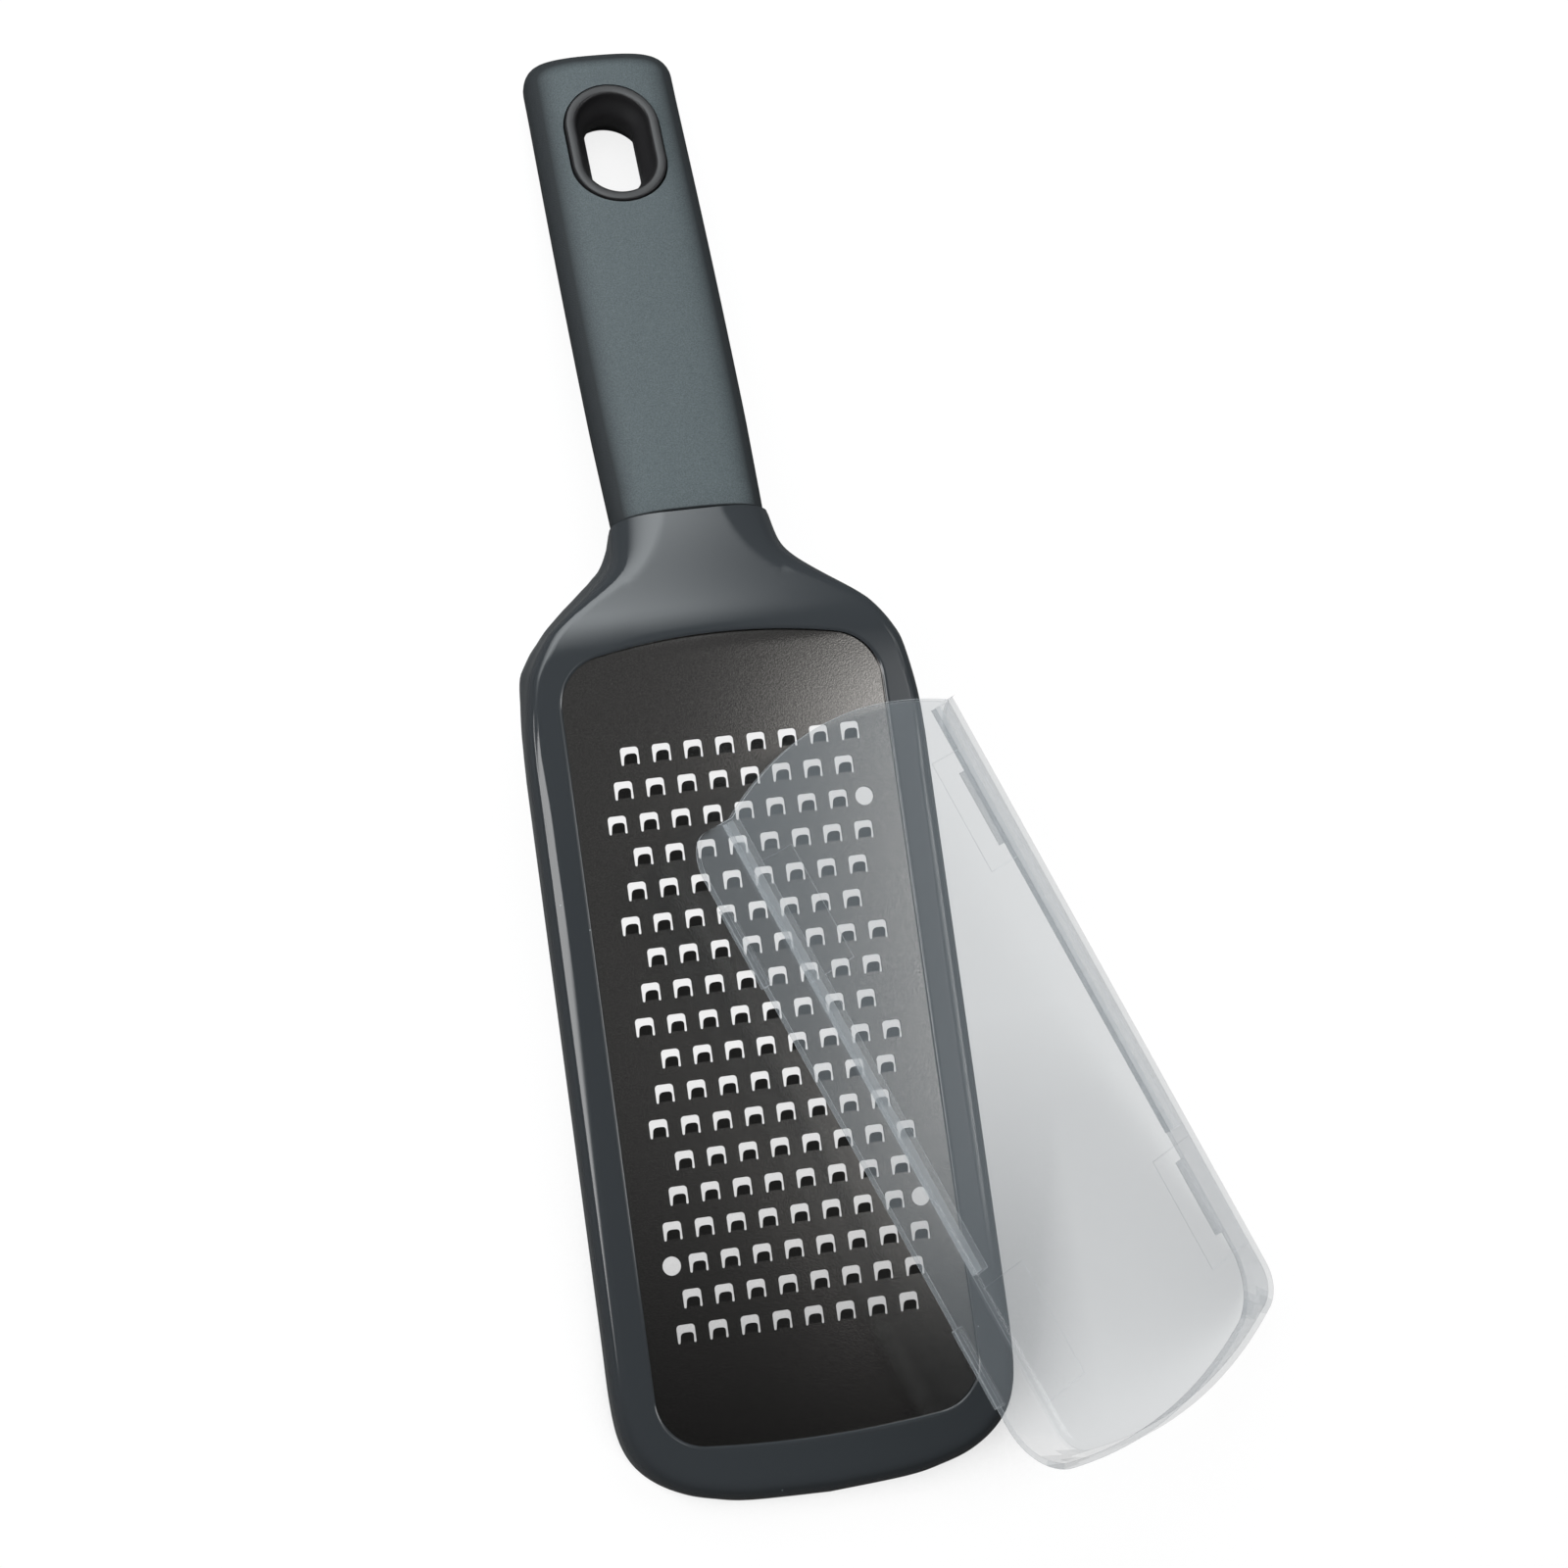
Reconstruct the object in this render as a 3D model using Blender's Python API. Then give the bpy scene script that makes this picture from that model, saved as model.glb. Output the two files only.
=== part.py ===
import math

import bmesh
import bpy
import numpy as np
from mathutils import Matrix, Vector
from mathutils.geometry import delaunay_2d_cdt

# Driving dimensions, in metres. Every length follows from the tooth pitch, which is the size cue.
tooth_pitch = 0.0060
row_pitch = 0.00626
tooth_rows = 18
tooth_columns = 8
sheet_thickness = 0.0005
sheet_tuck = 0.0015
fit_gap = 0.0003

# The U-shaped slot of one tooth, with its tongue held at the tip end.
slot_width = 0.0036
slot_height = 0.0035
slot_leg = 0.0006
slot_band = 0.00145
tongue_lift = 0.0012
sheet_hole_radius = 0.00175

# The opening of the head and the head's outer outline, as half widths and stations from the tooth field's centre.
opening_half_width = 0.0305
opening_top = 0.0743
opening_tip = -0.0750
opening_bow = 0.0020
opening_corner = 0.0085
head_tip = -0.0855
head_outline = (
    (0.0147, -0.0848),
    (0.0215, -0.0836),
    (0.0266, -0.0820),
    (0.0311, -0.0786),
    (0.0351, -0.0743),
    (0.0370, -0.0696),
    (0.0378, -0.0633),
    (0.0379, -0.0540),
    (0.0379, 0.0510),
    (0.0375, 0.0596),
    (0.0361, 0.0685),
)
# The neck from there to the seam, as half width and share of the way.
neck_outline = (
    (0.0347, 0.12),
    (0.0319, 0.27),
    (0.0288, 0.38),
    (0.0220, 0.57),
    (0.0182, 0.69),
    (0.0163, 0.80),
    (0.0153, 1.00),
)
rim_height = 0.0009
widest_level = -0.0043
head_bottom = -0.0097
lip_height = 0.0003

# The bend between head and handle, and the handle itself.
bend_start = 0.0715
bend_radius = 0.0250
bend_angle = math.radians(18.2)
seam_station = 0.0994
grip_end = 0.2044
grip_half_width = 0.0152
grip_top = 0.0022
grip_bottom = -0.0106
grip_corner = 0.0055
grip_end_drop = 0.0042
grip_seam_break = 0.0003
tang_width = 0.0170
tang_thickness = 0.0050
tang_reach = 0.0480

# The lined hole that the grater hangs from.
hanging_hole_from_end = 0.0228
liner_half_width = 0.0093
liner_half_length = 0.0134
liner_mouth_half_width = 0.0077
liner_mouth_half_length = 0.0119
liner_throat_half_width = 0.0049
liner_throat_half_length = 0.0092
liner_proud = 0.0003

# The clear cover: across u, along v toward the tip, and up w from the bottom of its side walls.
cover_wall = 0.0012
cover_foot_half_width = 0.0395
cover_corner_half_width = 0.0369
cover_corner_height = 0.0069
cover_face_height = 0.0082
cover_corner_round = 0.0030
cover_open_bow = 0.0069
cover_open_edge = -0.0135
cover_wall_start = -0.0057
cover_end_wall = 0.0009
cover_tip = 0.1208
cover_tip_bow = 0.0064
cover_tip_splay = 0.0008
cover_foot_radius = 0.0140
cover_face_radius = 0.0077
clip_length = 0.0157
clip_starts = (0.0, 0.0849)
clip_root = 0.0012
clip_drop = 0.00085
clip_hook = 0.0016
rib_start = -0.0130
rib_end = 0.0780
rib_inset = 0.0041
rib_width = 0.0030
rib_drop = 0.0014

# The rest of the set: the small flats it stands on and where the loose cover lies.
rest_flat = 0.0003
cover_turn = math.radians(26.9)
cover_lean = math.radians(31.5)
cover_pitch = math.radians(9.5)
cover_place = (0.0177, 0.0307, 0.0356)

# The middle of the whole set on the table, measured from under the tooth field, becomes the origin.
set_centre = (0.0262, 0.0564)


def clear_scene():
    for item in list(bpy.data.objects):
        bpy.data.objects.remove(item, do_unlink=True)


def new_collection(name):
    made = bpy.data.collections.new(name)
    bpy.context.scene.collection.children.link(made)
    return made


def bend(x, station, level):
    """Plate coordinates of a point given by its station along the bent axis and its level off that axis."""
    along = station - bend_start
    if along <= 0:
        return x, station, level
    turn = min(along / bend_radius, bend_angle)
    past = max(0.0, along - bend_radius * bend_angle)
    y = bend_start + bend_radius * math.sin(turn) + past * math.cos(turn) + level * math.sin(turn)
    z = -bend_radius * (1 - math.cos(turn)) - past * math.sin(turn) + level * math.cos(turn)
    return x, y, z


def stand_angle():
    """Tilt of the head when the grater rests on its tip and on the end of its handle."""
    tip = Vector(bend(0, head_tip + 0.006, head_bottom))
    end = Vector(bend(0, grip_end - 0.006, grip_bottom))
    return math.atan2(tip.z - end.z, end.y - tip.y)


head_tilt = stand_angle()


def stand_height():
    tip = bend(0, head_tip + 0.006, head_bottom)
    return -(tip[1] * math.sin(head_tilt) + tip[2] * math.cos(head_tilt)) - rest_flat


head_lift = stand_height()


def stand(point):
    """From plate coordinates to the table: tilted, lifted, and flat where it would pass through the table."""
    x, y, z = point
    turned_y = y * math.cos(head_tilt) - z * math.sin(head_tilt)
    turned_z = y * math.sin(head_tilt) + z * math.cos(head_tilt)
    return x - set_centre[0], turned_y - set_centre[1], max(0.0, turned_z + head_lift)


def mesh_object(name, collection, points, faces):
    mesh = bpy.data.meshes.new(name)
    mesh.from_pydata([tuple(p) for p in points], [], faces)
    mesh.validate()
    made = bpy.data.objects.new(name, mesh)
    collection.objects.link(made)
    return made


def face_outward(item):
    work = bmesh.new()
    work.from_mesh(item.data)
    bmesh.ops.recalc_face_normals(work, faces=work.faces)
    if work.calc_volume(signed=True) < 0:
        bmesh.ops.reverse_faces(work, faces=work.faces)
    work.to_mesh(item.data)
    work.free()


def loft(name, collection, rings, closed=True):
    """One closed body through rings of equal count, capped at both ends, or closed on itself."""
    count = len(rings[0])
    points = [p for ring in rings for p in ring]
    faces = []
    spans = len(rings) if closed else len(rings) - 1
    for i in range(spans):
        a = i * count
        b = ((i + 1) % len(rings)) * count
        for j in range(count):
            k = (j + 1) % count
            faces.append((a + j, a + k, b + k, b + j))
    if not closed:
        faces.append(tuple(range(count - 1, -1, -1)))
        faces.append(tuple((len(rings) - 1) * count + j for j in range(count)))
    made = mesh_object(name, collection, points, faces)
    face_outward(made)
    return made


def smooth_curve(controls, steps):
    """A curve through the control points, evenly spaced along its length."""
    found = []
    for i in range(len(controls) - 1):
        a = Vector(controls[max(i - 1, 0)])
        b = Vector(controls[i])
        c = Vector(controls[i + 1])
        d = Vector(controls[min(i + 2, len(controls) - 1)])
        for j in range(12):
            t = j / 12
            part_a = 2 * b + (c - a) * t
            part_b = (2 * a - 5 * b + 4 * c - d) * t * t
            part_c = (3 * b - 3 * c + d - a) * t ** 3
            found.append((part_a + part_b + part_c) / 2)
    found.append(Vector(controls[-1]))
    return even_steps(found, steps)


def even_steps(line, steps):
    lengths = [0.0]
    for a, b in zip(line, line[1:]):
        lengths.append(lengths[-1] + (b - a).length)
    targets = np.linspace(0, lengths[-1], steps + 1)
    xs = np.interp(targets, lengths, [p.x for p in line])
    ys = np.interp(targets, lengths, [p.y for p in line])
    return [Vector((x, y)) for x, y in zip(xs, ys)]


def opening_half(grow, side_steps, end_steps):
    """Right half of the opening's outline, from the tip's centre to the top's centre."""
    wide = opening_half_width + grow
    radius = opening_corner + grow
    found = []
    for sign, limit in ((-1, opening_tip - grow), (1, opening_top + grow)):
        shoulder = limit - sign * opening_bow
        line = []
        for i in range(9):
            x = (wide - radius) * i / 8
            line.append(Vector((x, limit - sign * opening_bow * (x / wide) ** 2)))
        for i in range(1, 9):
            angle = math.pi / 2 * (1 - i / 8)
            corner = Vector((wide - radius, shoulder - sign * radius))
            line.append(corner + radius * Vector((math.cos(angle), sign * math.sin(angle))))
        found.append(even_steps(line, end_steps))
    lower = found[0]
    upper = list(reversed(found[1]))
    middle = [lower[-1].lerp(upper[0], i / side_steps) for i in range(1, side_steps)]
    return lower + middle + upper


side_steps = 12
end_steps = 16
seam_steps = 7


def outer_half():
    """Right half of the head's outline, matched point for point with the opening, up to the seam's centre."""
    shoulder = head_outline[-1][1]
    neck = [(x, shoulder + share * (seam_station - shoulder)) for x, share in neck_outline]
    controls = [(0.0, head_tip)] + list(head_outline) + neck
    split_low = 8
    split_high = 9
    low = smooth_curve(controls[: split_low + 1], end_steps)
    high = smooth_curve(controls[split_high:], end_steps - seam_steps)
    middle = [low[-1].lerp(high[0], i / side_steps) for i in range(1, side_steps)]
    end = high[-1]
    seam = [Vector((end.x * (1 - i / seam_steps), end.y)) for i in range(1, seam_steps + 1)]
    return low + middle + high + seam


def mirrored(half):
    left = [Vector((-p.x, p.y)) for p in reversed(half[1:-1])]
    return half + left


def flank_distance(point, flank):
    """How far a point lies inside the head's flanks, which run on past the seam."""
    best = 1.0
    for a, b in zip(flank, flank[1:]):
        edge = b - a
        t = max(0.0, min(1.0, (point - a).dot(edge) / max(edge.length_squared, 1e-12)))
        best = min(best, (point - a - edge * t).length)
    return best


def neck_share(station):
    t = max(0.0, min(1.0, (station - 0.078) / (seam_station - 0.078)))
    return t * t * (3 - 2 * t)


def head_level(depth, station, top):
    """Level of the head's top or bottom skin, at a depth inside its flank."""
    share = neck_share(station)
    if top:
        crown = rim_height + (grip_top - 0.0003 - rim_height) * share
        run = 0.0034 + 0.0080 * share
    else:
        crown = head_bottom - 0.0005 * share
        run = 0.0030 + 0.0080 * share
    t = max(0.0, min(1.0, depth / run))
    rise = math.sqrt(max(0.0, 1 - (1 - t) ** 2.4))
    start = widest_level + (0.0012 if top else -0.0012)
    return start + (crown - start) * rise


def build_head(collection):
    def opening(grow):
        return mirrored(opening_half(grow, side_steps, end_steps))

    edge = opening(0.0)
    lip = opening(0.0008)
    groove = opening(sheet_tuck + fit_gap)
    outer = mirrored(outer_half())
    half = outer_half()
    flank = half[: len(half) - seam_steps] + [Vector((half[-1 - seam_steps].x, 0.130))]
    flank = [Vector((-p.x, p.y)) for p in reversed(flank)] + flank
    insets = (0.0, 0.00022, 0.0008, 0.0018, 0.0034)

    def inset(depth):
        return [b.lerp(a, min(0.5, depth / (b - a).length * 1.02)) for a, b in zip(edge, outer)]

    def between(share):
        return [b.lerp(a, share) for a, b in zip(lip, inset(insets[-1]))]

    def ring(outline, level):
        return [stand(bend(p.x, p.y, level(p))) for p in outline]

    def flat(level):
        return lambda p: level

    def skin(top):
        return lambda p: head_level(flank_distance(p, flank), p.y, top)

    below = -sheet_thickness - fit_gap
    rings = [ring(inset(depth), skin(True)) for depth in insets]
    rings += [ring(between(share), skin(True)) for share in (0.33, 0.66)]
    rings.append(ring(lip, flat(rim_height)))
    rings.append(ring(edge, flat(rim_height - 0.00025)))
    rings.append(ring(edge, flat(lip_height)))
    rings.append(ring(groove, flat(lip_height)))
    rings.append(ring(groove, flat(below)))
    rings.append(ring(edge, flat(below)))
    rings.append(ring(edge, flat(head_bottom + 0.0008)))
    rings.append(ring(lip, flat(head_bottom)))
    rings += [ring(between(share), skin(False)) for share in (0.66, 0.33)]
    rings += [ring(inset(depth), skin(False)) for depth in reversed(insets)]
    return loft("head_frame", collection, rings)


def rounded_ring(half_width, top, bottom, count, power):
    """One cross-section in x and level, rounder as the power nears two."""
    middle = (top + bottom) / 2
    half = (top - bottom) / 2
    ring = []
    for i in range(count):
        angle = 2 * math.pi * i / count
        c, s = math.cos(angle), math.sin(angle)
        x = half_width * math.copysign(abs(c) ** (2 / power), c)
        z = half * math.copysign(abs(s) ** (2 / power), s)
        ring.append((x, middle + z))
    return ring


def build_tang(name, collection, gap):
    rings = []
    start = seam_station - (0.006 if gap == 0 else 0.002)
    for station, shrink in ((start, 0), (seam_station + tang_reach - 0.002, 0), (seam_station + tang_reach, 0.002)):
        ring = rounded_ring(
            tang_width / 2 - shrink + gap,
            widest_level + tang_thickness / 2 - shrink / 2 + gap,
            widest_level - tang_thickness / 2 + shrink / 2 - gap,
            16,
            4,
        )
        end = station + (gap if station > seam_station else 0)
        rings.append([stand(bend(x, end, z)) for x, z in ring])
    return loft(name, collection, rings, closed=False)


def grip_width(station):
    t = (station - seam_station) / (grip_end - seam_station)
    swell = 0.0003 * math.sin(math.pi * min(1.0, t / 0.9))
    return grip_half_width - 0.0003 * (1 - min(1.0, t / 0.2)) + swell


def build_grip(collection):
    rings = []
    corner = grip_corner
    stations = [seam_station + fit_gap]
    stations += [seam_station + fit_gap + 0.0005]
    stations += list(np.linspace(seam_station + 0.008, grip_end - corner, 11))
    for angle in (18, 36, 52, 66, 78, 86):
        stations.append(grip_end - corner * (1 - math.sin(math.radians(angle))))
    for i, station in enumerate(stations):
        width = grip_width(station)
        into = max(0.0, station - (grip_end - corner)) / corner
        pinch = math.sqrt(max(0.0, 1 - into ** 2))
        half = width - corner * 0.95 * (1 - pinch)
        top = grip_top - grip_end_drop * (1 - pinch)
        bottom = grip_bottom + grip_end_drop * (1 - pinch)
        if i == 0:
            half -= grip_seam_break
            top -= grip_seam_break
            bottom += grip_seam_break
        ring = rounded_ring(half, top, bottom, 36, 3.0)
        rings.append([stand(bend(x, station, z)) for x, z in ring])
    return loft("handle_grip", collection, rings, closed=False)


def stadium(half_width, half_length, count):
    """Oval outline with straight sides, in x and station."""
    ring = []
    straight = half_length - half_width
    for i in range(count):
        angle = 2 * math.pi * (i + 0.5) / count
        c, s = math.cos(angle), math.sin(angle)
        ring.append((half_width * c, half_width * s + math.copysign(straight, s)))
    return ring


def hole_ring(half_width, half_length, level, count=28):
    centre = grip_end - hanging_hole_from_end
    outline = stadium(half_width, half_length, count)
    return [stand(bend(x, centre + s, level)) for x, s in outline]


def build_liner(collection):
    top = grip_top + liner_proud
    bottom = grip_bottom - liner_proud
    middle = (top + bottom) / 2
    sections = (
        (liner_half_width, liner_half_length, bottom + 0.0004),
        (liner_half_width - 0.0004, liner_half_length - 0.0004, bottom),
        (liner_mouth_half_width, liner_mouth_half_length, bottom),
        (liner_mouth_half_width - 0.0008, liner_mouth_half_length - 0.0008, bottom + 0.0012),
        (liner_throat_half_width, liner_throat_half_length, middle - 0.0008),
        (liner_throat_half_width, liner_throat_half_length, middle + 0.0008),
        (liner_mouth_half_width - 0.0008, liner_mouth_half_length - 0.0008, top - 0.0012),
        (liner_mouth_half_width, liner_mouth_half_length, top),
        (liner_half_width - 0.0004, liner_half_length - 0.0004, top),
        (liner_half_width, liner_half_length, top - 0.0004),
    )
    return loft("hanging_hole_liner", collection, [hole_ring(*section) for section in sections])


def build_liner_cutter(collection):
    wide = liner_half_width + fit_gap
    long = liner_half_length + fit_gap
    rings = [hole_ring(wide, long, grip_bottom - 0.002), hole_ring(wide, long, grip_top + 0.002)]
    return loft("liner_cutter", collection, rings, closed=False)


def tooth_outline():
    """One slot: the outside of the U, then the tongue's edge. The last three points of the tongue are lifted."""
    wide = slot_width / 2
    inner = wide - slot_leg
    tip = slot_height - slot_band
    leg = 0.0003
    return (
        ((wide, leg), 0),
        ((wide, slot_height - 0.0008), 0),
        ((wide - 0.0006, slot_height), 0),
        ((-wide + 0.0006, slot_height), 0),
        ((-wide, slot_height - 0.0008), 0),
        ((-wide, leg), 0),
        ((-wide + slot_leg / 2, 0.0), 0),
        ((-inner, leg), 0),
        ((-inner + 0.00008, tip - 0.0004), 1),
        ((0.0, tip), 1),
        ((inner - 0.00008, tip - 0.0004), 1),
        ((inner, leg), 0),
        ((wide - slot_leg / 2, 0.0), 0),
    )


def tooth_centres():
    for row in range(tooth_rows):
        for column in range(tooth_columns):
            x = (column - (row % 3) / 3 - 3.1667) * tooth_pitch
            y = (8.5 - row) * row_pitch
            yield Vector((x, y - slot_height / 2))


def inside(point, outline):
    found = False
    for a, b in zip(outline, outline[1:] + outline[:1]):
        if (a[1] > point[1]) != (b[1] > point[1]):
            cross = a[0] + (point[1] - a[1]) / (b[1] - a[1]) * (b[0] - a[0])
            if cross > point[0]:
                found = not found
    return found


def build_sheet(collection):
    points = []
    lifted = []
    edges = []
    holes = []

    def add_loop(loop, lifts):
        start = len(points)
        count = len(loop)
        points.extend(Vector(p) for p in loop)
        lifted.extend(lifts)
        edges.extend((start + i, start + (i + 1) % count) for i in range(count))
        return start

    border = [(p.x, p.y) for p in mirrored(opening_half(sheet_tuck, 6, 12))]
    add_loop(border, [0] * len(border))
    outline = tooth_outline()
    for centre in tooth_centres():
        loop = [(centre.x + x, centre.y + y) for (x, y), _ in outline]
        start = add_loop(loop, [lift for _, lift in outline])
        edges.append((start + 7, start + 11))
        holes.append((centre.x, centre.y + slot_height / 2, loop))
    for row, column in ((2, -0.8333), (2, 7.1667), (14, 7.1667)):
        x = (column - 3.1667) * tooth_pitch
        y = (8.5 - row) * row_pitch
        if row == 2 and column < 0:
            y = -y
        loop = []
        for i in range(16):
            angle = 2 * math.pi * i / 16
            loop.append((x + sheet_hole_radius * math.cos(angle), y + sheet_hole_radius * math.sin(angle)))
        add_loop(loop, [0] * 16)
        holes.append((x, y, loop))
    found = delaunay_2d_cdt(points, edges, [], 1, 1e-7)
    flat = found[0]
    source = found[3]
    triangles = []
    hole_centres = np.array([(h[0], h[1]) for h in holes])
    for face in found[2]:
        middle = sum((flat[i] for i in face), Vector((0, 0))) / 3
        near = np.argsort(((hole_centres - np.array(middle)) ** 2).sum(1))[:3]
        if any(inside(middle, holes[i][2]) for i in near):
            continue
        if not inside(middle, border):
            continue
        triangles.append(tuple(face))
    lift = [tongue_lift * max([lifted[s] for s in source[i]] or [0]) for i in range(len(flat))]
    count = len(flat)
    solid = [stand(bend(p.x, p.y, lift[i])) for i, p in enumerate(flat)]
    solid += [stand(bend(p.x, p.y, lift[i] - sheet_thickness)) for i, p in enumerate(flat)]
    uses = {}
    for face in triangles:
        for i in range(3):
            uses[(face[i], face[(i + 1) % 3])] = True
    faces = list(triangles)
    faces += [tuple(i + count for i in reversed(face)) for face in triangles]
    for a, b in uses:
        if (b, a) not in uses:
            faces.append((b, a, a + count, b + count))
    made = mesh_object("blade", collection, solid, faces)
    work = bmesh.new()
    work.from_mesh(made.data)
    bmesh.ops.delete(work, geom=[v for v in work.verts if not v.link_faces], context="VERTS")
    work.to_mesh(made.data)
    work.free()
    face_outward(made)
    return made


def tip_curve(inset, half_width, tip, corner_radius, steps=14):
    """Tip end of the cover in plan: a shallow arc, then a round corner into the straight side."""
    radius = max(0.0008, corner_radius - inset)
    side = half_width - inset
    slope = 2 * cover_tip_bow * side / cover_corner_half_width ** 2
    lean = math.atan(slope)
    meet = side - radius + radius * math.sin(lean)

    def arc(x):
        return tip - inset - cover_tip_bow * (x / cover_corner_half_width) ** 2

    line = [Vector((meet * i / 10, arc(meet * i / 10))) for i in range(11)]
    corner = Vector((side - radius, arc(meet) - radius * math.cos(lean)))
    for i in range(1, 9):
        angle = (math.pi / 2 - lean) * (1 - i / 8)
        line.append(corner + radius * Vector((math.cos(angle), math.sin(angle))))
    return even_steps(line, steps)


def cover_stations():
    """Stations down one side wall, with the height of its foot: the wall rounds up into the open end."""
    reach = cover_wall_start - cover_open_edge
    found = [(0.0600, 0.0), (0.0200, 0.0)]
    for angle in (0, 24, 44, 61, 75, 88):
        turn = math.radians(angle)
        foot = (cover_corner_height - cover_end_wall) * (1 - math.cos(turn))
        found.append((cover_wall_start - reach * math.sin(turn), foot))
    return found


def cover_rings():
    """The wall's section as (inset, half width at no inset, tip, corner radius, share of wall height, level)."""
    foot = cover_foot_half_width
    corner = cover_corner_half_width
    rise = cover_face_height - cover_corner_height
    outer = []
    inner = []
    for share in (0.0, 0.5, 1.0):
        side = foot + (corner - foot) * share
        tip = cover_tip + cover_tip_splay * (1 - share)
        radius = cover_foot_radius + (cover_face_radius - cover_foot_radius) * share
        outer.append((0.0, side, tip, radius, share, None))
        inner.append((cover_wall, side, tip, radius, share, None))
    for angle in (30, 60, 90):
        turn = math.radians(angle)
        inset = cover_corner_round * (1 - math.cos(turn))
        level = cover_corner_height + rise * math.sin(turn)
        back = cover_wall * math.cos(turn)
        outer.append((inset, corner, cover_tip, cover_face_radius, 1.0, level))
        inner.append((inset + back, corner, cover_tip, cover_face_radius, 1.0, level - cover_wall * math.sin(turn)))
    return outer + list(reversed(inner))


def cover_shell(name, collection):
    """The clear shell: a wall section carried round three sides, and the face between."""
    stations = cover_stations()
    points = []
    rings = cover_rings()
    for inset, side, tip, radius, share, level in rings:
        right = []
        for p in tip_curve(inset, side, tip, radius):
            right.append((p.x, p.y, 0.0))
        right += [(side - inset, v, foot) for v, foot in stations]
        ring = []
        for x, y, foot in right:
            height = foot + (cover_corner_height - foot) * share if level is None else level
            ring.append((x, -y, height))
        points += [(-x, y, z) for x, y, z in reversed(ring[1:])] + ring
    count = len(points) // len(rings)
    half = len(rings) // 2
    faces = []
    for ring in range(len(rings)):
        if ring == half - 1:
            continue
        following = (ring + 1) % len(rings)
        for j in range(count - 1):
            faces.append((ring * count + j, ring * count + j + 1, following * count + j + 1, following * count + j))
    for k in range(half - 1):
        twin = len(rings) - 1 - k
        for j in (0, count - 1):
            quad = (k * count + j, (k + 1) * count + j, (twin - 1) * count + j, twin * count + j)
            faces.append(quad)
    width = cover_corner_half_width - cover_corner_round
    arcs = []
    for ring in (half - 1, half):
        level = points[ring * count][2]
        arc = []
        for i in range(1, 12):
            x = width * (1 - 2 * i / 12)
            arc.append(len(points))
            points.append((x, -cover_open_edge + cover_open_bow * (1 - (x / width) ** 2), level))
        arcs.append([ring * count + count - 1] + arc + [ring * count])
        faces.append(tuple(ring * count + j for j in range(count)) + tuple(arc))
    for i in range(len(arcs[0]) - 1):
        faces.append((arcs[0][i], arcs[0][i + 1], arcs[1][i + 1], arcs[1][i]))
    made = mesh_object(name, collection, points, faces)
    face_outward(made)
    return made


def box_prism(name, collection, profile, start, end):
    """A bar of constant profile in u and w, along v."""
    rings = [[(u, -v, w) for u, w in profile] for v in (start, end)]
    return loft(name, collection, rings, closed=False)


def build_cover(collection, cutters):
    shell = cover_shell("blade_cover", collection)
    foot = cover_foot_half_width
    inner = foot - cover_wall
    lean = (cover_foot_half_width - cover_corner_half_width) / cover_corner_height
    added = []
    for side in (-1, 1):
        for number, start in enumerate(clip_starts):
            profile = (
                (side * (foot - cover_wall / 3 - clip_root * lean), clip_root),
                (side * (foot - 0.0001), -clip_drop + 0.0002),
                (side * (foot - 0.0004), -clip_drop),
                (side * (inner - clip_hook + 0.0006), -clip_drop),
                (side * (inner - clip_hook + 0.0002), -clip_drop + 0.0005),
                (side * (inner + cover_wall / 4 - clip_root * lean), clip_root),
            )
            added.append(box_prism(f"clip_{side}_{number}", cutters, profile, start, start + clip_length))
        roof = cover_face_height - cover_wall
        middle = cover_corner_half_width - rib_inset
        profile = (
            (side * (middle - rib_width / 2 - 0.0001), roof + cover_wall / 3),
            (side * (middle - rib_width / 2), roof - rib_drop),
            (side * (middle + rib_width / 2), roof - rib_drop),
            (side * (middle + rib_width / 2 + 0.0001), roof + cover_wall / 3),
        )
        added.append(box_prism(f"rib_{side}", cutters, profile, rib_start, rib_end))
    for item in added:
        item.hide_render = True
        item.display_type = "WIRE"
        join = shell.modifiers.new(item.name, "BOOLEAN")
        join.operation = "UNION"
        join.solver = "EXACT"
        join.object = item
    return shell


def cover_matrix():
    turn = Matrix.Rotation(cover_turn, 4, "Z") @ Matrix.Rotation(cover_lean, 4, "Y") @ Matrix.Rotation(cover_pitch, 4, "X")
    origin = Vector(cover_place) - Vector((*set_centre, 0))
    return Matrix.Translation(origin) @ turn


def paint(item, name, colour, roughness, metallic):
    material = bpy.data.materials.new(name)
    material.use_nodes = True
    shader = material.node_tree.nodes["Principled BSDF"]
    shader.inputs["Base Color"].default_value = (*colour, 1)
    shader.inputs["Roughness"].default_value = roughness
    shader.inputs["Metallic"].default_value = metallic
    item.data.materials.clear()
    item.data.materials.append(material)
    return shader


def cut(item, cutter, operation):
    cutter.hide_render = True
    cutter.display_type = "WIRE"
    change = item.modifiers.new(cutter.name, "BOOLEAN")
    change.operation = operation
    change.solver = "EXACT"
    change.object = cutter


clear_scene()
parts = new_collection("hand_grater")
cutters = new_collection("cutters")
cutters.hide_render = True

head = build_head(parts)
cut(head, build_tang("tang", cutters, 0.0), "UNION")
sheet = build_sheet(parts)
grip = build_grip(parts)
cut(grip, build_tang("tang_space", cutters, fit_gap), "DIFFERENCE")
cut(grip, build_liner_cutter(cutters), "DIFFERENCE")
liner = build_liner(parts)
cover = build_cover(parts, cutters)
placed = cover_matrix()
cover.matrix_world = placed
for item in cutters.objects:
    if item.name.startswith(("clip", "rib")):
        item.matrix_world = placed

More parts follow.
